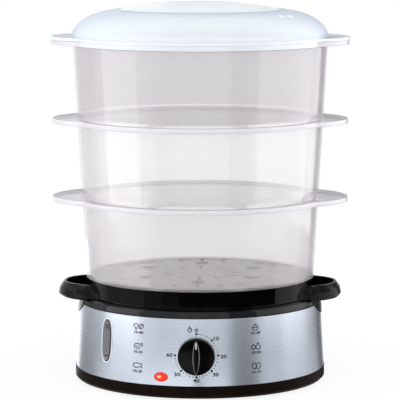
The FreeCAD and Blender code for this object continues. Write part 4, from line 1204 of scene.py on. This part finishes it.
@dataclass
class Gauge:
    """Upright level window: a bright rim round a grey, slightly domed pane with a few level marks, and a dark
    band of painted shade round the pane's edge, wider on the right.
    """

    panel: Panel
    degrees: float = -46.0
    height: float = 51.4
    half_width: float = 7.7
    half_height: float = 21.7
    power: float = 2.6
    proud: float = 0.85
    shade_shift: float = 0.9
    marks: Triple = (14.6, 12.2, -15.0)
    mark_reach: float = 2.3

    def rings(self, *levels: Pair) -> np.ndarray:
        """Rings on the steel: superellipses |x/a|^n + |y/b|^n = 1.

        Args:
            levels: for each ring, what a and b lose, and its distance out from the steel.

        Returns:
            A grid of points, levels by 96 by 3.
        """
        inset, out = np.array(levels).T[..., None]
        c, s = np.cos(all_round(96)), np.sin(all_round(96))
        x = (self.half_width - inset) * np.sign(c) * np.abs(c) ** (2 / self.power)
        y = (self.half_height - inset) * np.sign(s) * np.abs(s) ** (2 / self.power)
        return self.panel.wrap(points_at(x, y, out), self.degrees, self.height)

    def build(self) -> None:
        """Makes the rim and the pane, with its outer band of painted shade, in place of the node, and the
        marks.
        """
        proud = self.proud
        rim = self.rings(
            (0.0, -1.2), (0.0, 0.45), (0.15, proud - 0.1), (0.45, proud), (0.9, proud - 0.2), (1.1, -0.2)
        )
        pane = self.rings((0.9, -0.2), (2.3, 0.25), (4.0, 0.4), (6.0, 0.5), (self.half_width - 0.05, 0.55))
        # moving the band's inner ring towards -X widens the painted shade on the pane's right-hand side
        pane[1, :, 0] -= self.shade_shift
        ink = Print(self.panel, lift=0.66, line=1.1).at(self.degrees, self.height)
        for mark in self.marks:
            ink.stroke([(-self.mark_reach, mark), (self.mark_reach, mark)])
        mark_piece = ink.skin.object("gauge_marks", Look.INK, turn_out=False)
        rim_piece = Skin().add_grid(rim).object("gauge_rim", Look.GAUGE_RIM, turn_out=False)
        pane_skin = Skin().add_grid(pane, looks=[1, 0])
        pane_piece = pane_skin.object("gauge_pane", Look.GAUGE, Look.GAUGE_DARK, turn_out=False)
        for part in (rim_piece, pane_piece, mark_piece):
            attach(part, "base")
        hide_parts("gauge_window")


@dataclass
class PilotLamp:
    """Lit red oval lens."""

    panel: Panel
    degrees: float = -16.0
    height: float = 22.4
    half_width: float = 6.75
    half_height: float = 4.3
    proud: float = 1.5
    sunk: float = 0.1
    root: float = 1.5

    def build(self) -> None:
        """Dome on an oval: its height falls as sqrt(1 - s^2), where s is the share of the way out."""
        share = np.sin(np.linspace(0.0, np.pi / 2, 14))[:, None]
        t = all_round(64)
        out = self.proud * np.sqrt(np.clip(1 - share**2, 0.0, 1.0)) - self.sunk
        flat = points_at(self.half_width * share * np.cos(t), self.half_height * share * np.sin(t), out)
        root = flat[-1:] - np.array([0.0, 0.0, self.root])
        grid = self.panel.wrap(np.concatenate([flat, root]), self.degrees, self.height)
        lens = Skin().add_grid(grid).object("pilot_dome", Look.LAMP, turn_out=False)
        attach(lens, "base")
        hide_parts("pilot_lens")


@dataclass
class Dial:
    """Timer knob: a chamfered disc with a lens-shaped grip across it, lighter grey on the grip's shoulders as
    painted highlight, and a white line along the grip's top as painted highlight.
    """

    node: str = "timer_knob"
    body: str = "dial"
    thickness: float = 7.0
    wall: float = 2.0
    grip_half_width: float = 3.7
    grip_gap: float = 1.4
    grip_point: float = 0.35
    # distances below the rim of the two ends of the painted highlight line on the grip
    pointer: Pair = (9.3, 3.2)
    pointer_half_width: float = 0.42
    levels: tuple[Triple, ...] = (
        (1.16, 1.0, -1.0),
        (1.1, 1.0, 0.0),
        (0.98, 0.99, 0.55),
        (0.88, 0.975, 0.86),
        (0.7, 0.955, 0.96),
        (0.4, 0.9, 0.985),
        (0.0, 0.85, 0.985),
    )

    def __post_init__(self) -> None:
        """Reads the knob's place from the frame."""
        low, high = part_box(self.node)
        self.radius = high[0] / MM
        self.height = (low[2] + high[2]) / 2 / MM
        self.back = -high[1] / MM
        self.front = -low[1] / MM
        self.face = self.back + self.thickness

    def place(self, points: np.ndarray) -> np.ndarray:
        """Turns points with X right, Y up and Z towards the user into the knob's place."""
        return points_at(points[..., 0], -points[..., 2], points[..., 1] + self.height)

    def disc_skin(self) -> Skin:
        """The disc turned about the knob's axis, hollow behind."""
        face, r = self.face, self.radius
        inner_face, inner = face - self.wall, r - self.wall
        corners = [
            (0.0, face), (r - 1.0, face), (r - 0.2, face - 0.7), (r, self.back), (inner, self.back),
            (inner - 0.5, inner_face), (0.0, inner_face),
        ]
        return Skin().add_grid(self.place(revolve(rounded(corners, 0.6), all_round(128))))

    def grip_skin(self) -> Skin:
        """Grip: a pointed oval that narrows and rounds over towards its top.

        The plan is (w cos t |cos t|^0.35, l sin t). Each level scales its width and length, and lifts it by
        a share of the grip's rise. The two bands round its shoulders are a lighter, faintly metallic grey:
        painted highlight along the grip's edges.
        """
        t = all_round(96)
        wide, long, lift = np.array(self.levels).T[..., None]
        x = wide * self.grip_half_width * np.cos(t) * np.abs(np.cos(t)) ** self.grip_point
        y = long * (self.radius - self.grip_gap) * np.sin(t)
        out = self.face + lift * (self.front - self.face)
        # bands 2 and 3, on the grip's shoulders, take the painted highlight finish
        return Skin().add_grid(self.place(points_at(x, y, out)), looks=[0, 0, 1, 1, 0, 0])

    def pointer_skin(self) -> Skin:
        """Short white line along the top of the grip: painted highlight, standing in for the highlight streak
        there.
        """
        x = np.array([-self.pointer_half_width, self.pointer_half_width])
        y = self.radius - np.array(self.pointer)[:, None]
        return Skin().add_grid(self.place(points_at(x, y, self.front)), wrap_columns=False)

    def build(self) -> None:
        """Makes the knob in place of the node, and shows the bright disc behind it."""
        disc = self.disc_skin().object("knob_disc", Look.KNOB_BLACK)
        grip = self.grip_skin().object("knob_grip", Look.KNOB_BLACK, Look.KNOB_EDGE, sharp=50.0)
        pointer = self.pointer_skin().object("knob_grip_painted_highlight", Look.POINTER, turn_out=False)
        for part in (disc, grip, pointer):
            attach(part, self.body)
        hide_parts(self.node)
        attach(node_copy("dial_bezel", Look.CHROME), "base")


@dataclass
class Inside:
    """Pieces out of sight, which keep the frame's shapes."""

    nodes: dict[Look, str] = field(
        default_factory=lambda: {
            Look.RUBBER: "gauge_seal heater_seal cord_gland rubber_feet",
            Look.IVORY: "neon_lamp timer_case terminal_block",
            Look.ZINC: "timer_bell timer_screws timer_shaft clamp_ring clamp_nuts housing_screws",
            Look.BRASS: "timer_terminals",
            Look.HEATER: "heater_plate",
            Look.SHEATH: "heater_tube",
            Look.PHENOLIC: "thermostat thermal_fuse",
            Look.SLEEVE: "lead_element lead_timer",
            Look.BASE_BLACK: "steam_ring",
        }
    )

    def build(self) -> None:
        """Gives each node its finish."""
        for look, names in self.nodes.items():
            for name in names.split():
                mesh = FRAME["nodes"][name].data
                mesh.materials.clear()
                mesh.materials.append(look.value.material())


# --------------------------------------------------------------------------------- studio
@dataclass
class Studio:
    """Camera, floor, lamps, and the cards that only reflections show. Its sizes are in metres.

    Each sector is the first and last angle on the band where its cards show, and the light of the near card
    on the ground, the far card on the ground and the upright card. Light is radiance, where 1 is the
    background's white.
    """

    camera_distance: float = 2.4
    camera_height: float = 0.4789
    camera_azimuth: float = 1.6
    camera_pitch: float = 7.147
    lens: float = 218.65
    band_radius: float = 0.12
    rings: Triple = (0.13, 0.42, 0.9)
    ground: float = 0.001
    upright_top: float = 1.16
    box_distance: float = 1.3
    box_heights: Pair = (-0.15, 1.15)
    floor_reach: float = 40.0
    floor_fade: tuple[Pair, ...] = ((0.12, 0.87), (0.26, 0.97), (0.6, 1.0))
    dim_world: float = 0.62
    sectors: tuple[tuple[float, float, float, float, float], ...] = (
        (-90.0, -73.0, 1.8, 1.6, 1.1),
        (-73.0, -54.0, 0.4, 0.55, 0.9),
        (-54.0, -48.0, 0.7, 0.4, 1.3),
        (-48.0, -43.0, 0.86, 0.4, 3.0),
        (-43.0, -28.0, 0.86, 0.55, 3.0),
        (-28.0, -18.0, 1.42, 0.28, 1.5),
        (-18.0, -9.0, 1.62, 0.14, 1.35),
        (-9.0, -0.5, 1.56, 0.02, 1.6),
        (-0.5, 3.0, 0.1, 0.02, 1.6),
        (3.0, 15.5, 1.24, 0.02, 1.5),
        (15.5, 29.0, 0.2, 0.02, 0.65),
        (29.0, 43.0, 0.68, 0.02, 2.05),
        (43.0, 62.0, 0.82, 0.8, 2.4),
        (62.0, 72.0, 0.6, 0.4, 1.7),
        (72.0, 82.0, 0.12, 0.12, 0.12),
        (82.0, 90.0, 1.0, 0.6, 0.6),
    )

    def camera(self) -> None:
        """Stands the camera above the bowls' middle, looking slightly down."""
        data = bpy.data.cameras.new("camera")
        data.sensor_width = 36.0
        data.lens = self.lens
        data.clip_end = 200.0
        turn = math.radians(self.camera_azimuth)
        camera = bpy.data.objects.new("camera", data)
        camera.location = Vector((math.sin(turn), -math.cos(turn), 0.0)) * self.camera_distance
        camera.location.z = self.camera_height
        camera.rotation_euler = (math.radians(90 - self.camera_pitch), 0.0, turn)
        bpy.context.collection.objects.link(camera)
        bpy.context.scene.camera = camera

    def softbox(self, name: str, place: Vector, aim: Vector, size: Pair, power: float) -> None:
        """Adds a rectangular lamp.

        Args:
            name: its name.
            place: where it stands.
            aim: the point it faces.
            size: width and height.
            power: watts.
        """
        data = bpy.data.lights.new(name, "AREA")
        data.shape = "RECTANGLE"
        data.size, data.size_y = size
        data.energy = power
        lamp = bpy.data.objects.new(name, data)
        lamp.location = place
        lamp.rotation_euler = (aim - place).to_track_quat("-Z", "Y").to_euler()
        bpy.context.collection.objects.link(lamp)
        lamp.visible_camera = False
        lamp.visible_glossy = False

    def side_box(self, name: str, degrees: float, half_degrees: float, light: float) -> None:
        """Upright softbox that faces the axis from one side.

        Its power is pi times its light times its area.

        Args:
            name: its name.
            degrees: angle of its middle from the front.
            half_degrees: half the angle that it fills, seen from the axis.
            light: its radiance.
        """
        low, high = self.box_heights
        width = 2 * self.box_distance * math.tan(math.radians(half_degrees))
        turn = math.radians(degrees)
        aim = Vector((0.0, 0.0, (low + high) / 2))
        place = aim + Vector((math.sin(turn), -math.cos(turn), 0.0)) * self.box_distance
        self.softbox(name, place, aim, (width, high - low), light * math.pi * width * (high - low))

    def turn_seen(self, face: np.ndarray, radius: np.ndarray) -> np.ndarray:
        """Angle round the axis of what the band shows at an angle of its own.

        A level ray from the camera leaves the band at 2 face - camera and meets the radius r after
        t = -R cos q + sqrt(r^2 - R^2 sin^2 q), where q is the angle between the ray and the band's normal.

        Args:
            face: angle on the band, in radians from the front.
            radius: distance from the axis of what is seen.

        Returns:
            The angle in radians, broadcast over both.
        """
        band = self.band_radius
        leave = 2 * face - math.radians(self.camera_azimuth)
        lean = leave - face
        path = -band * np.cos(lean) + np.sqrt(radius**2 - (band * np.sin(lean)) ** 2)
        x = band * np.sin(face) + path * np.sin(leave)
        y = band * np.cos(face) + path * np.cos(leave)
        return np.arctan2(x, y)

    def card(
        self, name: str, level: float, turn: Pair, reach: Pair, heights: Pair, seen: bool = True
    ) -> bpy.types.Object:
        """Card that only reflections show: a sheet bent round the stack's axis.

        A point is (r sin a, -r cos a, z), with r and z both going from their first to their second value.

        Args:
            name: its name.
            level: its light.
            turn: first and last angle from the front, in degrees, growing towards +X.
            reach: radius at its bottom and top.
            heights: height of its bottom and top.
            seen: the angles are places on the band where the card shows, not places of the card.

        Returns:
            The card.
        """
        angle = np.radians(np.linspace(*turn, 25))
        radius = np.linspace(*reach, 9)[:, None]
        if seen:
            angle = self.turn_seen(angle, radius)
        grid = points_at(radius * np.sin(angle), -radius * np.cos(angle), np.linspace(*heights, 9)[:, None])
        material = bpy.data.materials.new(name)
        graph = Graph(material)
        graph.finish(graph.emission(WHITE, level))
        card = Skin().add_grid(grid / MM, wrap_columns=False).object(name, material, turn_out=False)
        for ray in ("camera", "shadow", "diffuse", "transmission"):
            setattr(card, "visible_" + ray, False)
        return card

    def cards(self) -> list[bpy.types.Object]:
        """The sectors' cards, one overhead and one behind the stack."""
        near, middle, far = self.rings
        ground = (self.ground, self.ground)
        upright = (self.ground, self.upright_top)
        made = []
        for first, last, near_level, far_level, upright_level in self.sectors:
            for kind, level, reach, heights in (
                ("_near", near_level, (near, middle), ground),
                ("_far", far_level, (middle, far), ground),
                ("_upright", upright_level, (far, far), upright),
            ):
                made.append(self.card("card_%d" % first + kind, level, (first, last), reach, heights))
        made.append(self.card("card_overhead", 12.0, (-95.0, 95.0), (1.3, 1.42), (1.5, 1.5), seen=False))
        made.append(
            self.card("card_back", 0.75, (171.0, 189.0), (1.38, 1.38), (self.ground, 1.8), seen=False)
        )
        return made

    def floor(self) -> bpy.types.Object:
        """Wide white floor that keeps a faint shadow near the steamer.

        Where it is seen it gives off white light, less of it near the axis. The rest is plain white paint.
        """
        edge = np.array([-self.floor_reach, self.floor_reach]) / MM
        material = bpy.data.materials.new("floor_white")
        graph = Graph(material)
        x, y, _ = graph.object_axes()
        share = graph.seen() * graph.ramp((x * x + y * y) ** 0.5, *self.floor_fade)
        plain = graph.node("ShaderNodeBsdfDiffuse", inputs={0: (0.9, 0.9, 0.9)}).outputs[0]
        graph.finish(graph.mix_shaders(share, plain, graph.emission(WHITE, 1.0)))
        skin = Skin().add_grid(points_at(edge, edge[:, None], 0.0), wrap_columns=False)
        return skin.object("floor", material, turn_out=False)

    def world(self) -> None:
        """Even white surroundings: strength 1 where they are seen, less where they only light."""
        world = bpy.data.worlds.new("surroundings")
        bpy.context.scene.world = world
        graph = Graph(world)
        strength = self.dim_world + graph.seen() * (1.0 - self.dim_world)
        light = graph.node("ShaderNodeBackground", inputs={0: WHITE, 1: strength})
        graph.finish(light.outputs[0], "World")

    def build(self) -> None:
        """Sets everything up."""
        scene = bpy.context.scene
        scene.cycles.transparent_max_bounces = 40
        scene.view_settings.view_transform = "Standard"
        self.camera()
        self.world()
        self.side_box("left_box", -68.0, 24.0, 1.9)
        self.side_box("right_box", 92.0, 33.0, 1.7)
        self.softbox("top_box", Vector((0.0, -0.9, 1.7)), Vector((0.0, 0.0, 0.3)), (1.1, 0.35), 9.0)
        cards = self.cards()
        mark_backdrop(self.floor(), *cards)


def note_size(name: str) -> dict[str, list[list[float]]]:
    """Lowest and highest corner of what is shown, under a name."""
    low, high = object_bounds()
    return {name: [list(map(float, low)), list(map(float, high))]}


def main() -> None:
    """Builds the steamer's looks and the studio."""
    logging.basicConfig(level=logging.INFO, format="%(message)s")
    FRAME.update(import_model())
    sizes = note_size("frame")
    panel = Panel()
    parts = [
        Base(),
        Tier("bowl_lower", "tier_1", overhang=8.5),
        Tier("bowl_middle", "tier_2", overhang=4.0),
        Tier("bowl_upper", "tier_3", overhang=0.3),
        Cover(),
        PanelMarks(panel),
        Gauge(panel),
        PilotLamp(panel),
        Dial(),
        Inside(),
        Studio(),
    ]
    for part in parts:
        LOG.info("building %s", type(part).__name__)
        part.build()
    sizes.update(note_size("dressed"))


if __name__ == "__main__":
    main()
